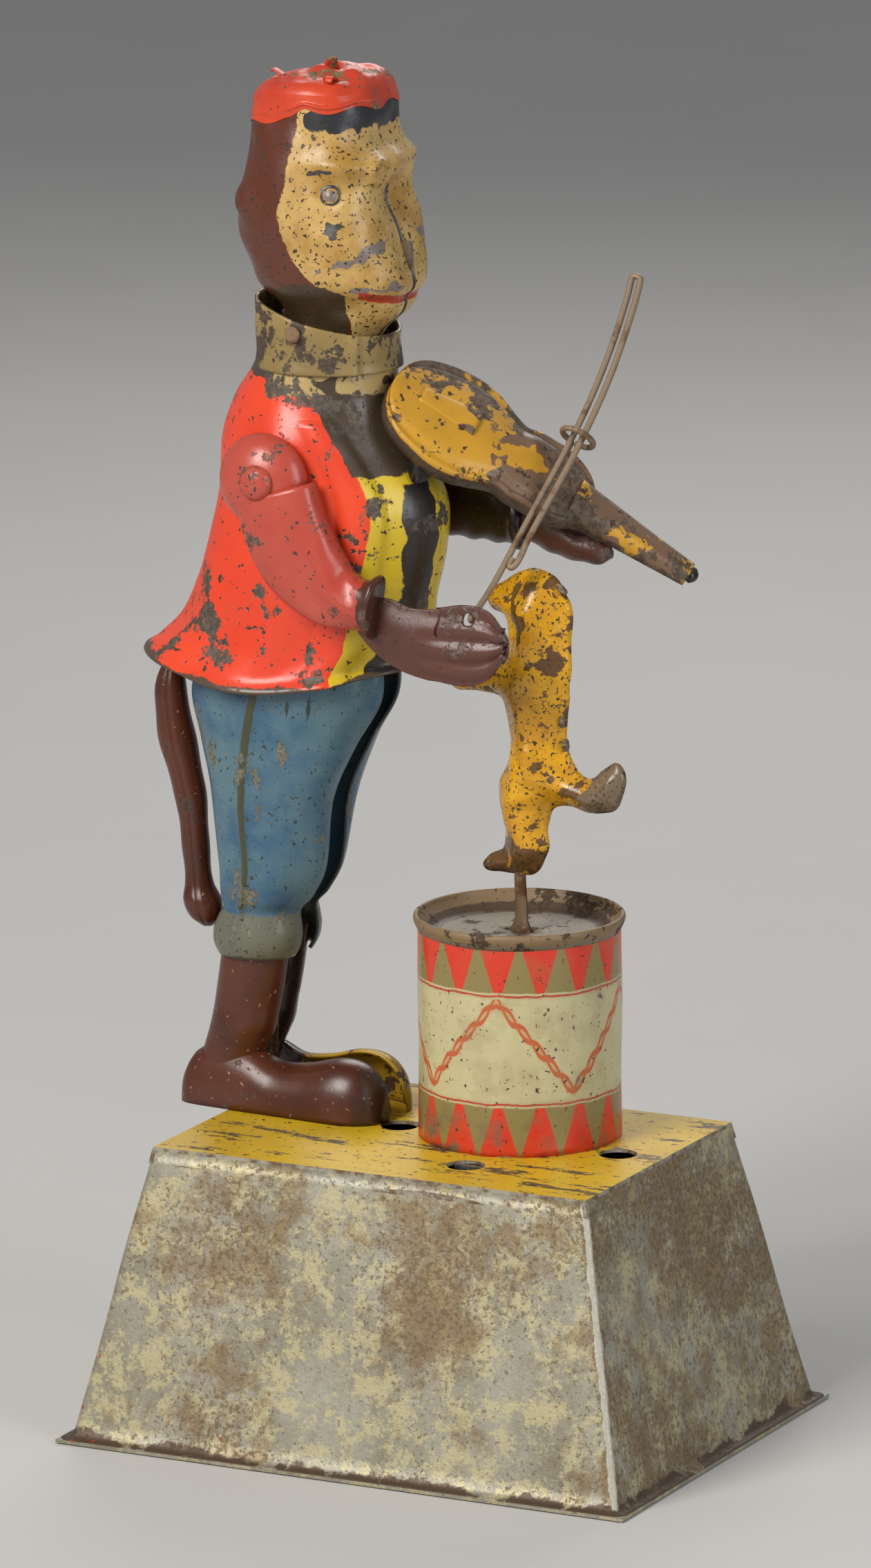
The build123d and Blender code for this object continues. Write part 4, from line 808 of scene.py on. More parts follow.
def face_relief(angle, height):
    """Brows, eyes, nose and muzzle pressed into the skin."""
    side_turn = abs(turn_gap(angle, 0))
    bridge = -3.9 * hump(side_turn, 0, 30) * hump(height, 180.6, 6.0)
    brow_hollow = -2.0 * hump(side_turn, 0, 40) * hump(height, 188.4, 2.6)
    socket = -1.0 * hump(side_turn, 56, 20) * hump(height, 181.6, 2.6)
    brow = 0.85 * hump(side_turn, 50, 26) * hump(height, 185.4, 1.3)
    boss_gap = math.hypot(turn_gap(angle, 334) * 0.2, height - 184.4)
    boss = 1.9 * hump(math.hypot(side_turn * 0.2, height - 184.6), 0, 3.0)
    boss_ring = 1.1 / (1 + math.exp((boss_gap - 2.2) / 0.16)) - 0.35 * hump(boss_gap, 1.0, 0.3)
    eye = 0.6 * hump(math.hypot((side_turn - 62) * 0.2, height - 181.2), 0, 0.95)
    eye_ring = -0.3 * hump(math.hypot((side_turn - 62) * 0.2, height - 181.2), 1.5, 0.35)
    cheek = 0.9 * hump(side_turn, 52, 20) * hump(height, 172.6, 4.5)
    muzzle = -0.9 * hump(side_turn, 0, 16) * hump(height, 172.0, 3.0)
    muzzle += 0.7 * hump(side_turn, 20, 18) * hump(height, 169.0, 3.0)
    nostril = -0.5 * hump(math.hypot((side_turn - 12) * 0.2, height - 170.6), 0, 0.9)
    lips = -0.6 * hump(height, 165.5, 0.7) * hump(side_turn, 0, 38)
    chin = 0.5 * hump(side_turn, 0, 30) * hump(height, 162.6, 1.9)
    crack = -0.9 * hump(side_turn, 0, 1.0) * (height < 181.5)
    ear = 1.5 * hump(math.hypot((side_turn - 136) * 0.21, height - 179.4), 0, 2.3)
    ear_dent = -0.6 * hump(math.hypot((side_turn - 136) * 0.21, height - 179.4), 0, 0.9)
    return (bridge + brow_hollow + socket + brow + boss + boss_ring + eye + eye_ring + cheek + muzzle + nostril + lips
            + chin + crack + ear + ear_dent)


def eased(value):
    """Smooth step from 0 to 1."""
    value = min(1.0, max(0.0, value))
    return value * value * (3 - 2 * value)


def cap_edge(angle):
    """Height of the cap's lower edge round the head: high over the face, low at the nape."""
    side_turn = abs(turn_gap(angle, 0))
    drop = 1.5 * eased((side_turn - 80) / 16) + 1.6 * eased((side_turn - 100) / 50)
    return 193.2 - drop + 0.5 * math.sin(math.radians(7 * angle))


def skin_ripple(out, height):
    return ripple(out * 11 + Vector((0, 0, height)), 0.24, 0.45)


head_rings = []
head_steps = 125
for row in range(head_steps + 1):
    ring = []
    for step in range(head_around):
        angle = 360 * step / head_around
        share = row / head_steps
        height = head_foot + (cap_edge(angle) + 0.6 - head_foot) * share
        radius = head_radius(angle, height) + face_relief(angle, height)
        out = outward(angle)
        ring.append((Vector((head_middle_x, seam_y, height)) + out * (radius + skin_ripple(out, height))) * mm)
    head_rings.append(ring)
head_shell = ring_mesh("head_tin", head_rings)


def head_turn(at):
    return abs(math.degrees(math.atan2(at.y - seam_y, at.x - head_middle_x)))


def hair_line(height):
    """How far round from the front the face's paint reaches at a height."""
    return between(((160, 40), (163.2, 47), (167, 68), (169.8, 85), (173.4, 96), (178, 101.5), (182.2, 96),
                    (185.4, 95), (190.3, 89)), height)[0]


def spot(at, turn, height, radius, wide=0.2):
    """1 in the middle of a round painted spot, 0.5 at its edge."""
    return 0.5 + (radius - math.hypot((head_turn(at) - turn) * wide, at.z - height)) / 1.6


mark(head_shell, "hair", lambda at: 0.5 + (head_turn(at) - hair_line(at.z)) / 12)
mark(head_shell, "jaw", lambda at: 0.5 + min((168.0 - 0.00144 * (head_turn(at) - 84) ** 2 - at.z) / 2.5,
                                             (head_turn(at) - 46 - 1.4 * (at.z - 162)) / 12,
                                             (126 - head_turn(at)) / 14))
mark(head_shell, "black_band", lambda at: 0.5 + min(
    (at.z - 190.2 + 1.1 * noise.noise(at * 0.5)) / 2.0,
    (82 - head_turn(at) - 1.6 * (at.z - 191.6) ** 2 + 5 * noise.noise(at * 0.6)) / 12))
mark(head_shell, "ink", lambda at: max(
    0.5 + (1.05 + 0.7 * noise.noise(at * 0.9) - math.hypot((head_turn(at) - 61) * 0.2, at.z - 176.2)) / 1.6,
    0.5 + (0.32 + 0.3 * noise.noise(at * 1.3) - abs(at.z - 184.6 + 0.003 * (head_turn(at) - 66) ** 2)
           - 0.14 * max(0.0, abs(head_turn(at) - 70) - 8)) / 1.2,
    0.5 + (0.22 - abs(math.hypot((head_turn(at) - 62) * 0.2, at.z - 181.2) - 1.3)) / 1.2,
    0.5 + (0.45 - head_turn(at) * 0.2 - 2.0 * (at.z > 181.6)) / 0.8))
mark(head_shell, "mouth", lambda at: 0.5 + min((0.62 - abs(at.z - 165.4 - 0.00064 * head_turn(at) ** 2)) / 1.4,
                                               (44 - head_turn(at)) / 10))
mark(head_shell, "bare_patch", lambda at: 0.5 + max(
    (0.7 + 1.5 * noise.noise(at * 0.55) - abs(at.z - 172.4 - 0.09 * (44 - head_turn(at)))
     - 0.06 * max(0.0, abs(head_turn(at) - 44) - 15)) / 1.5,
    (0.55 + 1.3 * noise.noise(at * 0.6) - abs(at.z - 167.4)
     - 0.08 * max(0.0, abs(head_turn(at) - 30) - 10)) / 1.4,
    spot(at, 62, 181.2, 0.9) - 0.5))
face_tan = enamel("face_tan", rgb(0.53, 0.345, 0.115), rgb(0.17, 0.12, 0.08), chips=0.18, lumps=260,
                  freckles=0.66,
                  freckle=rgb(0.035, 0.022, 0.012), gloss=0.34, tone=0.85, relief=0.5,
                  shade=rgb(0.33, 0.165, 0.022),
                  zones=(("bare_patch", rgb(0.19, 0.15, 0.13)), ("mouth", rgb(0.38, 0.035, 0.015)),
                         ("ink", rgb(0.045, 0.04, 0.032)), ("hair", rgb(0.098, 0.024, 0.010)),
                         ("jaw", rgb(0.050, 0.030, 0.014)), ("black_band", rgb(0.022, 0.024, 0.028))))
settle(head_shell, face_tan, "head", "face_tan", "head_right_half", "head_left_half", thickness=0.4 * mm)


def crown_edge(angle):
    """Height of the rounded edge between the cap's side and its crown."""
    return 196.4 + 0.7 * math.cos(math.radians(angle)) + 0.35 * math.sin(math.radians(3 * angle + 40))


crown_round = 1.2            # height of the rounding below the crown's edge
cap_rings = []
for row in range(27):
    ring = []
    for step in range(head_around):
        angle = 360 * step / head_around
        share = row / 26
        height = cap_edge(angle) + (crown_edge(angle) - crown_round - cap_edge(angle)) * share
        out = outward(angle)
        radius = head_radius(angle, height) + 0.1 + skin_ripple(out, height)
        radius += 0.35 * hump(share, 0.35, 0.1) * hump(abs(turn_gap(angle, 300)), 0, 60)
        ring.append((Vector((head_middle_x, seam_y, height)) + out * radius) * mm)
    cap_rings.append(ring)
for row in range(1, 25):
    share = row / 25
    ring = []
    for step in range(head_around):
        angle = 360 * step / head_around
        out = outward(angle)
        level = crown_edge(angle) - crown_round
        rim = head_radius(angle, level) + 0.1 + skin_ripple(out, level)
        bend = min(1.0, share / 0.14)
        rise = math.sin(bend * math.pi / 2) + 1.9 * (1 - (1 - share) ** 1.6)
        radius = rim * (1 - share)
        place = Vector((head_middle_x, seam_y, level + rise)) + out * radius
        fold = 0.8 * hump(place.y, 1.6 + 0.25 * (place.x + 20), 1.2)
        place.z += ripple(place, 0.38, 0.7, 6.0) * min(1.0, share * 3) + fold * min(1.0, share * 4)
        ring.append(place * mm)
    cap_rings.append(ring)
cap = ring_mesh("cap_tin", cap_rings, True, False, True)
cap_red = enamel("cap_red", rgb(0.58, 0.055, 0.015), rgb(0.24, 0.15, 0.06), chips=0.47, lumps=180, freckles=0.4,
                 freckle=rgb(0.06, 0.04, 0.03), gloss=0.34, tone=0.6, relief=0.5, shade=rgb(0.34, 0.020, 0.012))
settle(cap, cap_red, "head", "cap_red", "cap")


def torn_tab(name, base_at, reach, width, curl, turn):
    """Small torn flap of tin standing up from the crown."""
    rings = []
    for step in range(9):
        share = step / 8
        half = width / 2 * (1 - 0.75 * share) + 0.1 * math.sin(share * 9)
        place = Vector((reach * math.sin(curl * share), 0, reach * share * math.cos(curl * share)))
        spin = Matrix.Rotation(math.radians(turn), 3, "Z")
        rings.append([(base_at + spin @ (place + Vector((0.15 * math.sin(side * 2), half * side, 0)))) * mm
                      for side in (-1, -0.5, 0, 0.5, 1)])
    return ring_mesh(name, rings, closed=False)


for number, (place, reach, width, curl, turn) in enumerate((((-19.0, 3.4, 197.6), 2.6, 3.4, 0.5, -40),
                                                             ((-25.2, 1.6, 197.0), 2.3, 2.2, -1.2, 20),
                                                             ((-17.2, 0.2, 196.6), 2.4, 2.6, 1.4, -70))):
    settle(torn_tab("cap_tear_%d" % (number + 1), Vector(place), reach, width, curl, turn), cap_red, "head",
           "cap_red",
           "cap", thickness=0.35 * mm)

# ---------------------------------------------------------------- arms
# The near arm is a bent sleeve pressing that turns on a shaft at the shoulder, with a beaded
# cuff and a flat leaf-shaped paw that is pierced for the bow. The far arm reaches behind.
shoulder = Vector((-23.5, 0.0, 140.6))
sleeve_spine = ((-21.8, 138.4, 6.4), (-20.3, 133.4, 6.6), (-17.6, 128.4, 6.5), (-13.4, 124.6, 5.3),
                (-9.8, 123.1, 4.1),
                (-7.2, 122.8, 3.7), (-6.0, 122.7, 4.7), (-5.2, 122.6, 4.3))
sleeve_face_y = -8.2
sleeve_swell = 4.0


def ribbon(name, spine, face_y, swell, shape=None, across=30, rows=70, back=0.25):
    """Flat-backed pressing along a spine of (x, z, half width) in a plane facing the front."""
    table = [(number,) + row for number, row in enumerate(spine)]
    last = len(spine) - 1
    rings = []
    for row in range(rows + 1):
        at = last * row / rows
        here_x, here_z, half = between(table, at)
        ahead = between(table, min(at + 0.01, last))
        behind = between(table, max(at - 0.01, 0))
        along = Vector((ahead[0] - behind[0], 0, ahead[1] - behind[1])).normalized()
        side = Vector((-along.z, 0, along.x))
        ring = []
        for step in range(across + 1):
            angle = math.pi * step / across
            out = math.sin(angle) ** 0.62
            reach = -half * math.cos(angle)
            depth = swell * out
            if shape:
                depth += shape(reach / half, row / rows) * min(1.0, out * 1.6)
            ring.append((Vector((here_x, face_y - depth, here_z)) + side * reach) * mm)
        for step in range(1, across // 2):
            share = 1 - 2 * step / (across // 2)
            ring.append((Vector((here_x, face_y + back, here_z)) + side * half * share * 0.96) * mm)
        rings.append(ring)
    return ring_mesh(name, rings, True, True, True)


def sleeve_shape(across, along):
    folds = 0.35 * math.sin(across * 5 + along * 14) * hump(along, 0.45, 0.2)
    bead = 1.2 * hump(along, 0.975, 0.03) - 0.3 * hump(along, 0.905, 0.02)
    return folds + bead + 0.5 * hump(along, 0.16, 0.2)


sleeve_red = enamel("sleeve_red", rgb(0.42, 0.052, 0.032), rgb(0.16, 0.09, 0.065), chips=0.44, lumps=170,
                    freckles=0.42,
                    freckle=rgb(0.06, 0.035, 0.025), gloss=0.27, tone=0.6, relief=0.4,
                    shade=rgb(0.46, 0.085, 0.055),
                    zones=(("bead", rgb(0.07, 0.024, 0.016)),))
near_sleeve = ribbon("right_sleeve_tin", sleeve_spine, sleeve_face_y, sleeve_swell, sleeve_shape)
mark(near_sleeve, "bead", lambda at: 0.5 + (at.x + 7.4 + 0.8 * noise.noise(at * 0.5)) / 2.0 if at.z < 130 else 0.0)
cap_round = bmesh.new()
bmesh.ops.create_uvsphere(cap_round, u_segments=48, v_segments=32, radius=7.0 * mm)
for vertex in cap_round.verts:
    vertex.co.y = vertex.co.y * (0.60 if vertex.co.y < 0 else 0.04)
    vertex.co += Vector((shoulder.x - 0.6, sleeve_face_y, shoulder.z - 1.0)) * mm
shoulder_cap = from_form("right_shoulder_tin", cap_round)
shoulder_cap.data.shade_smooth()
settle(near_sleeve, sleeve_red, "right_arm", "sleeve_red", "right_sleeve")
settle(shoulder_cap, sleeve_red, "right_arm", "sleeve_red", "right_sleeve")
boss = turned("shoulder_boss_turned", Vector((0, 0, 0)),
              [(2.6 * mm, 0), (2.5 * mm, 0.5 * mm), (1.9 * mm, 1.1 * mm),
                                                          (0.9 * mm, 1.4 * mm), (0.05 * mm, 1.45 * mm)], 48)
for vertex in boss.data.vertices:
    flat = vertex.co.copy()
    vertex.co = Vector((flat.x, -flat.z, flat.y)) + Vector((shoulder.x, sleeve_face_y - 3.9,
                                                            shoulder.z - 0.6)) * mm
boss.name = "shoulder_boss"
settle(boss, sleeve_red, "right_arm", "sleeve_red", "right_sleeve")

hook = Vector((9.2, -7.0, 122.3))
paw_spine = ((-8.0, 121.2, 2.6), (-5.0, 120.2, 4.0), (-1.0, 118.6, 4.5), (4.0, 118.2, 5.3), (8.6, 118.4, 5.9),
             (12.0, 118.7, 5.0), (14.2, 119.0, 2.4), (14.8, 119.1, 0.6))
paw_rows, paw_across = 110, 44
paw_table = [(number,) + row for number, row in enumerate(paw_spine)]
paw_rings = []
for row in range(paw_rows + 1):
    at = (len(paw_spine) - 1) * row / paw_rows
    here_x, here_z, half = between(paw_table, at)
    ring = []
    for step in range(paw_across + 1):
        share = 2 * step / paw_across - 1
        x, z = here_x + 0.25 * share * half * (at < 3), here_z + share * half
        cup = 1.4 * (1 - share * share) * hump(at, 3.0, 3.4)
        fingers = (0.26 * math.cos(share * 11 + 0.4 * at) * max(0.0, min(1.0, (at - 2.2) / 1.5))
                   * (1 - abs(share) ** 4))
        scallop = 0.45 * math.cos(share * 9) * (at > 6.0)
        rim = 0.35 * abs(share) ** 6
        ring.append(Vector((x + scallop, -8.3 - cup - fingers - rim, z)) * mm)
    paw_rings.append(ring)
paw = ring_mesh("right_paw_tin", paw_rings, closed=False)
hole_form = bmesh.new()
hole_form.from_mesh(paw.data)
near_hole = [face for face in hole_form.faces
             if (face.calc_center_median().xz - hook.xz * mm).length < 0.95 * mm]
bmesh.ops.delete(hole_form, geom=near_hole, context="FACES")
for vertex in hole_form.verts:
    if vertex.is_boundary:
        off = Vector((vertex.co.x - hook.x * mm, vertex.co.z - hook.z * mm))
        if off.length < 1.6 * mm:
            off = off.normalized() * 1.0 * mm
            vertex.co.x, vertex.co.z = hook.x * mm + off.x, hook.z * mm + off.y
hole_form.to_mesh(paw.data)
hole_form.free()
paw_brown = enamel("paw_brown", rgb(0.095, 0.032, 0.021), rgb(0.16, 0.105, 0.08), chips=0.48, lumps=190,
                   freckles=0.3,
                   freckle=rgb(0.04, 0.015, 0.01), gloss=0.34, tone=0.7, relief=0.6)
settle(paw, paw_brown, "right_arm", "fur_brown", "right_hand", thickness=0.6 * mm)

far_sleeve_rows = ((-26.0, 22.9, 138.0, 2.9, 6.0), (-18.0, 22.9, 136.0, 2.9, 7.2), (-10.0, 22.4, 133.8, 3.0, 6.4),
                   (-2.0, 20.6, 132.4, 3.0, 5.0), (2.2, 19.4, 131.6, 2.9, 4.2), (3.2, 19.2, 131.5, 3.3, 4.6),
                   (4.4, 18.9, 131.4, 2.9, 3.8))
far_hand_rows = ((3.6, 19, 131.2, 1.9, 2.4), (7, 18.4, 130.6, 2.2, 2.8), (10, 17.6, 129.8, 2.4, 2.8),
                 (15, 16.8, 128.8, 2.6, 2.4), (18, 16.5, 128.3, 2.0, 1.8), (19.4, 16.4, 128.1, 0.8, 0.8))


def reaching(name, rows, ripple_depth, around=64, steps=70):
    """Arm shell through upright ovals of (x, centre y, centre z, half y, half z)."""
    rings = []
    for row in range(steps + 1):
        along = rows[0][0] + (rows[-1][0] - rows[0][0]) * row / steps
        middle_y, middle_z, half_y, half_z = between(rows, along)
        rings.append([Vector((along, middle_y + half_y * math.cos(math.tau * step / around),
                              middle_z + half_z * math.sin(math.tau * step / around)
                              + ripple_depth * math.sin(along * 1.4 + 3 * math.cos(math.tau * step / around)))) * mm
                      for step in range(around)])
    return ring_mesh(name, rings, True, True, True)


far_sleeve = reaching("left_sleeve_tin", far_sleeve_rows, 0.18)
# painted shade: the far sleeve gets a near-black paint that stands in for the shade it lies in
sleeve_painted_shade = enamel("far_sleeve_painted_shade", rgb(0.020, 0.009, 0.007), rgb(0.05, 0.03, 0.02), chips=0.38, lumps=190,
                     freckles=0.4, freckle=rgb(0.16, 0.03, 0.02), gloss=0.3, tone=0.5)
settle(far_sleeve, sleeve_painted_shade, "base", "sleeve_red", "left_sleeve")
settle(reaching("left_hand_tin", far_hand_rows, 0.1), paw_brown, "base", "fur_brown", "left_hand")

# ---------------------------------------------------------------- violin
# A pressed violin with an arched top and rolled rim, a raised tail plate, and a channel-shaped
# neck with a small black end. Ochre worn to brown, rustier towards the neck.
tail_end = Vector((-7.0, 4.4, 152.5))
yaw, pitch, roll = (math.radians(value) for value in (24, 33, 34))
violin_turn = (Matrix.Rotation(yaw, 3, "Z") @ Matrix.Rotation(pitch, 3, "Y") @ Matrix.Rotation(roll, 3, "X"))
long_way = Matrix.Rotation(yaw, 3, "Z") @ Matrix.Rotation(pitch, 3, "Y") @ Vector((1, 0, 0))
top_way = violin_turn @ Vector((0, 0, 1))
side_way = top_way.cross(long_way)
violin_depth = 3.6
waist = ((-2.4, 1.2), (-2.0, 3.4), (-1.0, 5.6), (1.0, 7.6), (4.2, 9.0), (8.0, 9.7), (11.6, 9.4), (14.2, 8.2),
         (16.2, 7.2),
         (18.0, 6.7), (20.0, 7.4), (22.2, 7.5), (24.4, 7.5), (26.8, 6.9), (29.0, 5.6), (30.4, 4.0), (31.0, 2.8))


def on_violin(along, across, up):
    return (tail_end + long_way * along + side_way * across + top_way * up) * mm


def violin_half(along, side):
    """Half width of the body, cut in on the side that faces the bow."""
    return between(waist, along)[0] - (1.3 * hump(along, 24, 6) if side < 0 else 0)


violin_rings = []
for row in range(91):
    along = -2.4 + 33.4 * row / 90
    ring = []
    for step in range(41):
        share = 2 * step / 40 - 1
        half = violin_half(along, share)
        arch = 1.7 * (1 - abs(share) ** 2.2) * hump(along, 13.5, 12)
        arch += 0.7 * hump(math.hypot(along - 19.5, (share * half - 3.4) * 1.3), 0, 1.7)
        groove = -0.45 * hump(abs(share), 0.86, 0.07)
        ring.append(on_violin(along, share * half, -0.5 + arch + groove))
    for side in (1, -1):
        steps = (0.15, 0.35, 0.65, 1.0) if side > 0 else (1.0, 0.65, 0.35, 0.15)
        half = violin_half(along, side)
        for down in steps:
            bulge = 0.28 * math.sin(math.pi * min(1.0, down * 1.4))
            ring.append(on_violin(along, side * (half + bulge - 0.1), -0.5 - (violin_depth - 0.9) * down))
    violin_rings.append(ring)
violin_shell = ring_mesh("violin_tin", violin_rings, True, True, True)
# the near-black last zone colour is painted shade for the violin's sides and underside
violin_ochre = enamel("violin_ochre", rgb(0.56, 0.285, 0.020), rgb(0.155, 0.105, 0.070), chips=0.72, lumps=110,
                      freckles=0.5, freckle=rgb(0.06, 0.03, 0.015), gloss=0.4, tone=0.5, metal=0.15, relief=0.6,
                      zones=(("rust", rgb(0.165, 0.095, 0.055)), ("sides_and_underside_shade", rgb(0.070, 0.045, 0.03))))


def violin_share(at):
    off = at - tail_end
    return off.dot(long_way), off.dot(side_way), off.dot(top_way)


# painted shade: the sides and underside below the top's edge turn near-black, standing in for the shade of the hollow
# beneath
mark(violin_shell, "sides_and_underside_shade", lambda at: 0.5 + (-1.15 - violin_share(at)[2]) / 1.6)
mark(violin_shell, "rust", lambda at: 0.5 + (
    violin_share(at)[0] - 19.5 + 13 * noise.noise(at * 0.22) + 5 * noise.noise(at * 0.9)) / 6)
settle(violin_shell, violin_ochre, "base", "violin_ochre", "violin_body")
neck_rings = []
for row in range(53):
    share = row / 52
    along = 28.6 + (48.6 - 28.6) * share
    half = 3.1 - 1.6 * share ** 0.8
    top = 0.25 - 0.8 * share
    deep = 3.1 - 1.5 * share
    edge = (top - deep, top - deep * 0.6, top - 0.9)
    ring = [on_violin(along, -half, level) for level in edge]
    for step in range(13):
        angle = math.pi * step / 12
        ring.append(on_violin(along, -(half - 0.15) * math.cos(angle), top - 0.7 + 0.7 * math.sin(angle) ** 0.6
                              - 0.22 * hump(abs(math.cos(angle)), 0.0, 0.25)))
    ring += [on_violin(along, half, level) for level in reversed(edge)]
    neck_rings.append(ring)
violin_neck = ring_mesh("violin_neck_tin", neck_rings, closed=False)
mark(violin_neck, "rust", lambda at: 0.5 + (1.4 + 9 * noise.noise(at * 0.25) + 4 * noise.noise(at * 0.9)) / 5)
settle(violin_neck, violin_ochre, "base", "violin_ochre", "violin_neck", thickness=0.45 * mm)
head_spine = ((47.6, 1.25, 0.8), (48.4, 1.45, 1.05), (49.2, 1.3, 1.0), (49.8, 0.8, 0.7), (50.0, 0.4, 0.4))
scroll_rings = []
for row in range(25):
    along = 47.6 + (50.0 - 47.6) * row / 24
    half, deep = between(head_spine, along)
    scroll_rings.append([on_violin(along, half * math.cos(math.tau * step / 28) * (1 + 0.08 * math.sin(along * 5)),
                                   -1.3 + deep * math.sin(math.tau * step / 28)) for step in range(28)])
settle(ring_mesh("violin_scroll", scroll_rings, True, True, True), black_gloss, "base", "black", "violin_head")
tail_rings = []
for row in range(17):
    along = 2.0 + 9.2 * row / 16
    half = 1.5 + 1.0 * row / 16
    tail_rings.append([on_violin(along, half * math.cos(math.tau * step / 20),
                                 0.25 + 0.9 * row / 16 + 0.35 * math.sin(math.tau * step / 20)) for step in range(20)])
violin_tail = ring_mesh("violin_tail_tin", tail_rings, True, True, True)
mark(violin_tail, "rust", lambda at: 0.5 + (6 * noise.noise(at * 0.4) - 1.0) / 5)
settle(violin_tail, violin_ochre, "base", "black", "violin_tailpiece")

# ---------------------------------------------------------------- bow
# One rusty wire bent double. It hooks through the paw, runs up beside the violin through the
# wire eye, and turns back on itself at the top; the free end curls under.


def wire(name, points, radius):
    """Smooth round wire through points in metres."""
    line = bpy.data.curves.new(name, "CURVE")
    line.dimensions = "3D"
    line.bevel_depth = radius
    line.bevel_resolution = 5
    line.use_fill_caps = True
    spline = line.splines.new("NURBS")
    spline.points.add(len(points) - 1)
    for point, place in zip(spline.points, points):
        point.co = (*place, 1.0)
    spline.order_u = 3
    spline.use_endpoint_u = True
    spline.resolution_u = 8
    drawn = put_out(name, line)
    graph = bpy.context.evaluated_depsgraph_get()
    mesh = bpy.data.meshes.new_from_object(drawn.evaluated_get(graph))
    bpy.data.objects.remove(drawn)
    mesh.name = name
    mesh.shade_smooth()
    return put_out(name, mesh)


guide_at = Vector((14.6, 13.8, 145.4))
bow_way = (guide_at - hook).normalized()
bow_side = (Vector((1, 0, 0)) - bow_way * bow_way.x).normalized()
bow_length, wire_step = 60.0, 1.6
bow_wire = 0.47 * mm
bow_rust = bare_metal("bow_wire_rust", rgb(0.27, 0.19, 0.12), rgb(0.15, 0.085, 0.04), 0.5, lumps=300, metal=0.3,
                      spots=0.5)
bow_bend = Vector((-0.89, -0.45, 0.0)) * 0.0045


def bow_at(reach, aside):
    """Place along the bow: straight up to the wire eye, then curving upright."""
    return hook + bow_way * reach + bow_side * aside + bow_bend * max(0.0, reach - 30) ** 2


bow_points = [hook + Vector(step) for step in ((-0.2, 0.35, -0.2), (0.0, -0.6, 0.0), (0.1, -1.75, -0.3),
                                               (0.2, -2.1, 0.5))]
bow_points += [hook + bow_way * 1.6 + Vector((0.15, -1.6, 0)), hook + bow_way * 4.5 + Vector((0.1, -0.4, 0))]
bow_points += [bow_at(reach, 0.12 * math.sin(reach * 0.35)) for reach in (8, 16, 26, 36, 46, 56)]
bow_points += [bow_at(bow_length - 0.9, 0), bow_at(bow_length + 0.1, 0.1),
               bow_at(bow_length + 0.1, wire_step - 0.1),
               bow_at(bow_length - 0.9, wire_step)]
bow_points += [bow_at(reach, wire_step + 0.15 * math.sin(reach * 0.3)) for reach in (54, 42, 30, 20, 14)]
bow_points += [hook + bow_way * reach + bow_side * aside
               for reach, aside in ((10.5, 1.9), (8.9, 1.5), (9.0, 0.75), (10.4, 0.8))]
settle(wire("bow_wire", [point * mm for point in bow_points], bow_wire), bow_rust, "bow", "wire", "bow")

ring_middle = guide_at + bow_side * (wire_step / 2)
ring_across = bow_way.cross(bow_side)
down = (bow_way * top_way.dot(bow_way) - top_way).normalized()
foot = ring_middle + down * 2.5
side_of_down = bow_way.cross(down)
guide_points = [foot - top_way * ((foot - tail_end).dot(top_way) - 0.6), foot - top_way * 0.6]
for step in range(15):
    angle = math.radians(8 + 344 * step / 14)
    guide_points.append(ring_middle + (down * math.cos(angle) + side_of_down * math.sin(angle)) * 2.5)
settle(wire("bow_eye", [point * mm for point in guide_points], 0.45 * mm), bow_rust, "base", "wire", "bow_guide")

# ---------------------------------------------------------------- dog
# A small hollow dog standing on its hind feet, pressed in two halves and held by folded tabs
# along the seam. It is soldered to a strip that rises through the drum. Yellow with dark flecks.
dog_home = Vector((9.5, seam_y, 0.0))
dog_spin = Matrix.Rotation(math.radians(-10), 3, "Z")
dog_outline = ((-5.4, 122.2), (-5.0, 123.0), (-2.0, 125.2), (2.6, 127.2), (6.8, 126.4), (9.2, 122.6),
               (9.5, 117.0), (9.1, 111.0), (8.5, 104.6), (9.3, 100.2), (11.2, 98.0), (13.4, 97.6),
               (15.4, 99.0), (17.2, 100.4), (18.6, 99.4), (18.7, 96.2), (16.4, 93.2), (12.4, 92.7),
               (8.6, 93.4), (6.2, 92.4), (5.2, 89.6), (5.2, 86.4), (4.2, 83.6), (2.2, 82.2),
               (-1.6, 82.0), (-5.4, 81.7), (-6.5, 82.6), (-5.2, 83.9), (-2.6, 85.2), (-2.2, 88.0),
               (-3.2, 91.4), (-3.3, 94.6), (-1.7, 98.4), (-1.6, 103.2), (-3.0, 107.6), (-6.4, 108.3),
               (-10.8, 108.2), (-12.3, 109.4), (-11.0, 110.7), (-6.6, 111.4), (-2.8, 113.2), (-1.7, 116.6),
               (-2.4, 119.8), (-4.4, 120.9))
dog_half_depth = 4.4


def dog_place(local_x, across, height):
    return dog_home + dog_spin @ Vector((local_x, across, 0)) + Vector((0, 0, height))


def rounded(corners, steps=6):
    """Closed smooth line through given corners."""
    line = []
    count = len(corners)
    for number in range(count):
        p0, p1, p2, p3 = (Vector(corners[(number + shift) % count]) for shift in (-1, 0, 1, 2))
        for step in range(steps):
            t = step / steps
            line.append(0.5 * (2 * p1 + (p2 - p0) * t + (2 * p0 - 5 * p1 + 4 * p2 - p3) * t * t
                               + (3 * p1 - p0 - 3 * p2 + p3) * t ** 3))
    return line


edge_line = rounded(dog_outline)
edge_count = len(edge_line)


def edge_distance(point):
    """Distance from a flat point to the outline, and whether the point lies inside it."""
    nearest, inside = 1e9, False
    for number in range(edge_count):
        start, end = edge_line[number], edge_line[(number + 1) % edge_count]
        along = end - start
        share = min(1.0, max(0.0, (point - start).dot(along) / max(along.dot(along), 1e-9)))
        nearest = min(nearest, (start + along * share - point).length)
        if (start.y > point.y) != (end.y > point.y):
            if point.x < (end.x - start.x) * (point.y - start.y) / (end.y - start.y) + start.x:
                inside = not inside
    return nearest, inside


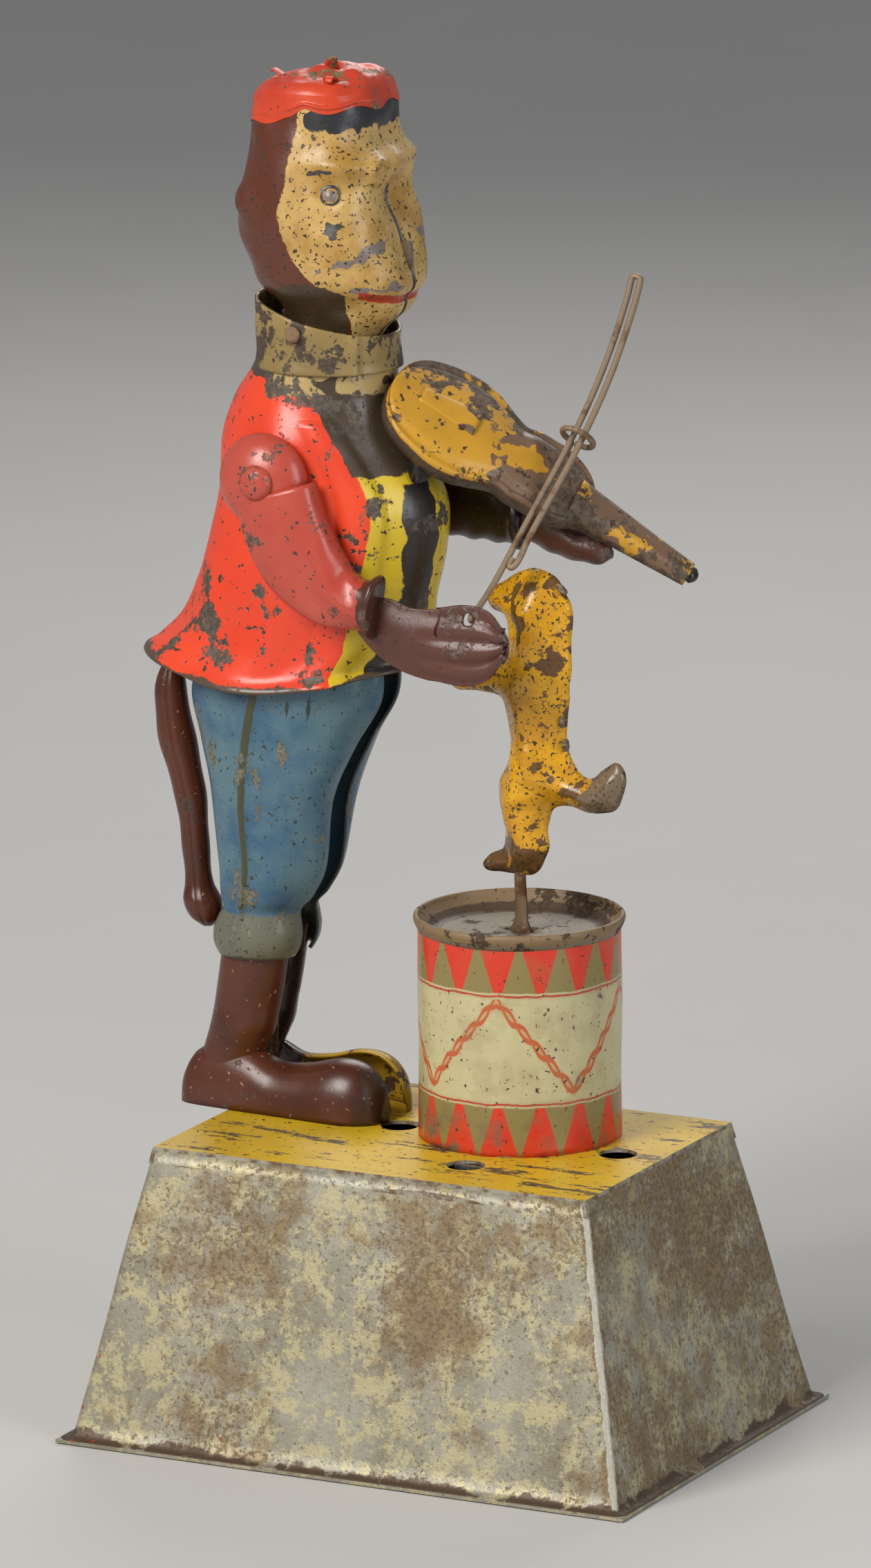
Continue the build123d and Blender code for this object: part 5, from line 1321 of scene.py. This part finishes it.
grid_step = 0.5
inner_points = []
for row in range(int(47 / grid_step)):
    for column in range(int(33 / grid_step)):
        point = Vector((-13 + grid_step * (column + 0.5 * (row % 2)), 81 + grid_step * row))
        reach, inside = edge_distance(point)
        if inside and reach > 0.3:
            inner_points.append(point)
flat_points, _, flat_faces, _, _, _ = delaunay_2d_cdt(
    edge_line + inner_points, [(number, (number + 1) % edge_count) for number in range(edge_count)], [], 1, 1e-5)
dog_form = bmesh.new()
for side in (-1, 1):
    corners = []
    for number, point in enumerate(flat_points):
        reach = 0.0 if number < edge_count else edge_distance(point)[0]
        ear = 0.55 * hump(point.x, 5.2, 2.2) * hump(point.y, 115.0, 6.5) * min(1.0, reach)
        haunch = 0.5 * hump(math.hypot(point.x - 1.6, point.y - 94.5), 0, 4.0) * min(1.0, reach)
        depth = min(dog_half_depth, 1.3 * reach ** 0.72 + ear + haunch)
        corners.append(dog_form.verts.new((point.x, side * depth, point.y)))
    for face in flat_faces:
        loop = [corners[number] for number in face]
        dog_form.faces.new(loop if side < 0 else loop[::-1])
bmesh.ops.remove_doubles(dog_form, verts=dog_form.verts, dist=0.002)
bmesh.ops.recalc_face_normals(dog_form, faces=dog_form.faces)
rounding = [vertex for vertex in dog_form.verts if abs(vertex.co.y) > 0.01]
for _ in range(7):
    bmesh.ops.smooth_vert(dog_form, verts=rounding, factor=0.5, use_axis_x=False, use_axis_y=True,
                          use_axis_z=False)
for vertex in dog_form.verts:
    vertex.co = dog_place(*vertex.co)
dog = from_form("dog_tin", dog_form)


def dog_local(at):
    off = dog_spin.inverted() @ (at - dog_home)
    return off.x, off.y, at.z


dog_normals = [vertex.normal.copy() for vertex in dog.data.vertices]
for vertex, out in zip(dog.data.vertices, dog_normals):
    across = dog_local(vertex.co)[1]
    vertex.co += out * (ripple(vertex.co, 0.35, 0.4) + 0.14 * hump(across, 0.0, 0.3))
    vertex.co *= mm
dog.data.shade_smooth()
mark(dog, "dark_back", lambda at: 0.5 + max(
    (2.6 * noise.noise(at * 0.22) + 3.0 * noise.noise(at * 0.55) - 2.3 + 0.16 * (dog_local(at)[0] - 2)
     + 0.9 * hump(at.z, 121, 5)) / 3.0,
    (2.2 * noise.noise(at * 0.5) - 1.1 + 2.2 * hump(at.z, 84, 4)) / 3.0))
mark(dog, "tail_tip", lambda at: 0.5 + (dog_local(at)[0] - 12.2 + 1.6 * noise.noise(at * 0.5)) / 4.0)
dog_yellow = enamel("dog_yellow", rgb(0.72, 0.36, 0.008), rgb(0.16, 0.10, 0.045), chips=0.36, lumps=300,
                    freckles=0.75,
                    freckle=rgb(0.05, 0.035, 0.012), gloss=0.26, tone=0.6, relief=0.4, edge=0.2,
                    shade=rgb(0.36, 0.15, 0.006),
                    zones=(("dark_back", rgb(0.135, 0.062, 0.018)), ("tail_tip", rgb(0.165, 0.115, 0.07))))
settle(dog, dog_yellow, "dog", "dog_yellow", "dog_right_half", "dog_left_half")

for number, (local_x, height, lean) in enumerate(((8.3, 125.0, 40), (8.9, 102.2, 84), (8.4, 105.6, 88))):
    form = bmesh.new()
    bmesh.ops.create_cube(form, size=1.0)
    bmesh.ops.bevel(form, geom=form.edges[:], offset=0.16, segments=3, affect="EDGES")
    tilt = Matrix.Rotation(math.radians(lean), 3, "Y")
    for vertex in form.verts:
        size = Vector((vertex.co.x * 1.7, vertex.co.y * 1.4, vertex.co.z * 0.5))
        vertex.co = (dog_place(local_x, -0.7, height) + dog_spin @ (tilt @ size)) * mm
    tab = from_form("dog_tab_%d" % (number + 1), form)
    tab.data.shade_smooth()
    mark(tab, "tail_tip", lambda at: 1.0)
    settle(tab, dog_yellow, "dog", "dog_yellow", "dog_right_half")

strip_low, strip_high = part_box("dog_strip")
strip_rings = []
for row in range(41):
    height = strip_low.z + (strip_high.z - strip_low.z) * row / 40
    half = between(((strip_low.z, 2.0), (head_high.z - 3.2 * mm, 2.0), (head_high.z - 1.4 * mm, 0.95),
                    (strip_high.z, 0.85)), height)[0]
    side_step = 0.12 * math.sin(row * 0.9)
    ring = []
    for across, deep in ((-1, -1), (-0.3, -1), (0.3, -1), (1, -1), (1, 1), (0.3, 1), (-0.3, 1), (-1, 1)):
        place = dog_place(0.3 + side_step + half * across, 0.35 * deep, 0) * mm
        ring.append(Vector((place.x, place.y, height)))
    strip_rings.append(ring)
settle(ring_mesh("dog_strip_tin", strip_rings, True, True, True), rusty_strip, "dog", "steel", "dog_strip")

# ---------------------------------------------------------------- floor, light and camera
# A plain pale table, a large soft lamp above the left, weaker ones at the right and behind,
# and a pale surround; the camera stands a little above the toy and looks down at it.
floor_form = bmesh.new()
bmesh.ops.create_grid(floor_form, x_segments=1, y_segments=1, size=3.0)
floor = from_form("table_top", floor_form)
floor.location.z = -0.2 * mm
floor_paint, floor_tree, floor_shader = fresh_material("table_paint")
floor_tree.links.new(over(floor_tree, cloud(floor_tree, 14, 3), rgb(0.50, 0.49, 0.47), rgb(0.54, 0.53, 0.51)),
                     floor_shader.inputs["Base Color"])
floor_shader.inputs["Roughness"].default_value = 0.8
floor.data.materials.append(floor_paint)

bpy.context.scene.view_settings.view_transform = "Standard"
surround = bpy.data.worlds.new("soft_surround")
bpy.context.scene.world = surround
surround.use_nodes = True
surround.node_tree.nodes["Background"].inputs[0].default_value = rgb(0.80, 0.82, 0.86)
surround.node_tree.nodes["Background"].inputs[1].default_value = 0.30


def lamp(name, place, aim, size, power, tint):
    """Soft square lamp."""
    light = bpy.data.lights.new(name, "AREA")
    light.shape = "RECTANGLE"
    light.size, light.size_y = size
    light.energy = power
    light.color = tint
    lit = put_out(name, light)
    lit.location = place
    lit.rotation_euler = (Vector(aim) - Vector(place)).to_track_quat("-Z", "Y").to_euler()


lamp("lamp_left", (-0.25, -0.75, 0.65), (0, 0, 0.10), (0.42, 0.5), 9.5, (1.0, 0.97, 0.93))
lamp("lamp_right", (0.85, -0.25, 0.35), (0, 0, 0.10), (0.35, 0.6), 3.2, (0.93, 0.96, 1.0))
lamp("lamp_back", (-0.2, 0.7, 0.6), (0, 0, 0.12), (0.5, 0.4), 2.5, (1.0, 0.98, 0.95))

azimuth, elevation, lean = (math.radians(value) for value in (26.81, 12.86, -0.32))
stand_off = 1.497
sight = Vector((-math.sin(azimuth) * math.cos(elevation), math.cos(azimuth) * math.cos(elevation),
                -math.sin(elevation)))
flat_right = Vector((math.cos(azimuth), math.sin(azimuth), 0))
flat_up = flat_right.cross(sight)
right = flat_right * math.cos(lean) + flat_up * math.sin(lean)
up = flat_up * math.cos(lean) - flat_right * math.sin(lean)
aim_across, aim_height = -0.86 * mm, 95.5 * mm
aim_at = flat_right * aim_across + Vector((0, 0, aim_height))
lens = bpy.data.cameras.new("camera")
lens.sensor_fit = "VERTICAL"
film_height = 36.0
focal_share = 15000 / 2270   # focal length by picture height: long, so that upright lines hardly converge
lens.sensor_height = film_height
lens.lens = film_height * focal_share
lens.clip_start = 0.05
camera = put_out("camera", lens)
stand = Matrix((right, up, -sight)).transposed().to_4x4()
stand.translation = aim_at - sight * stand_off
camera.matrix_world = stand
bpy.context.scene.camera = camera
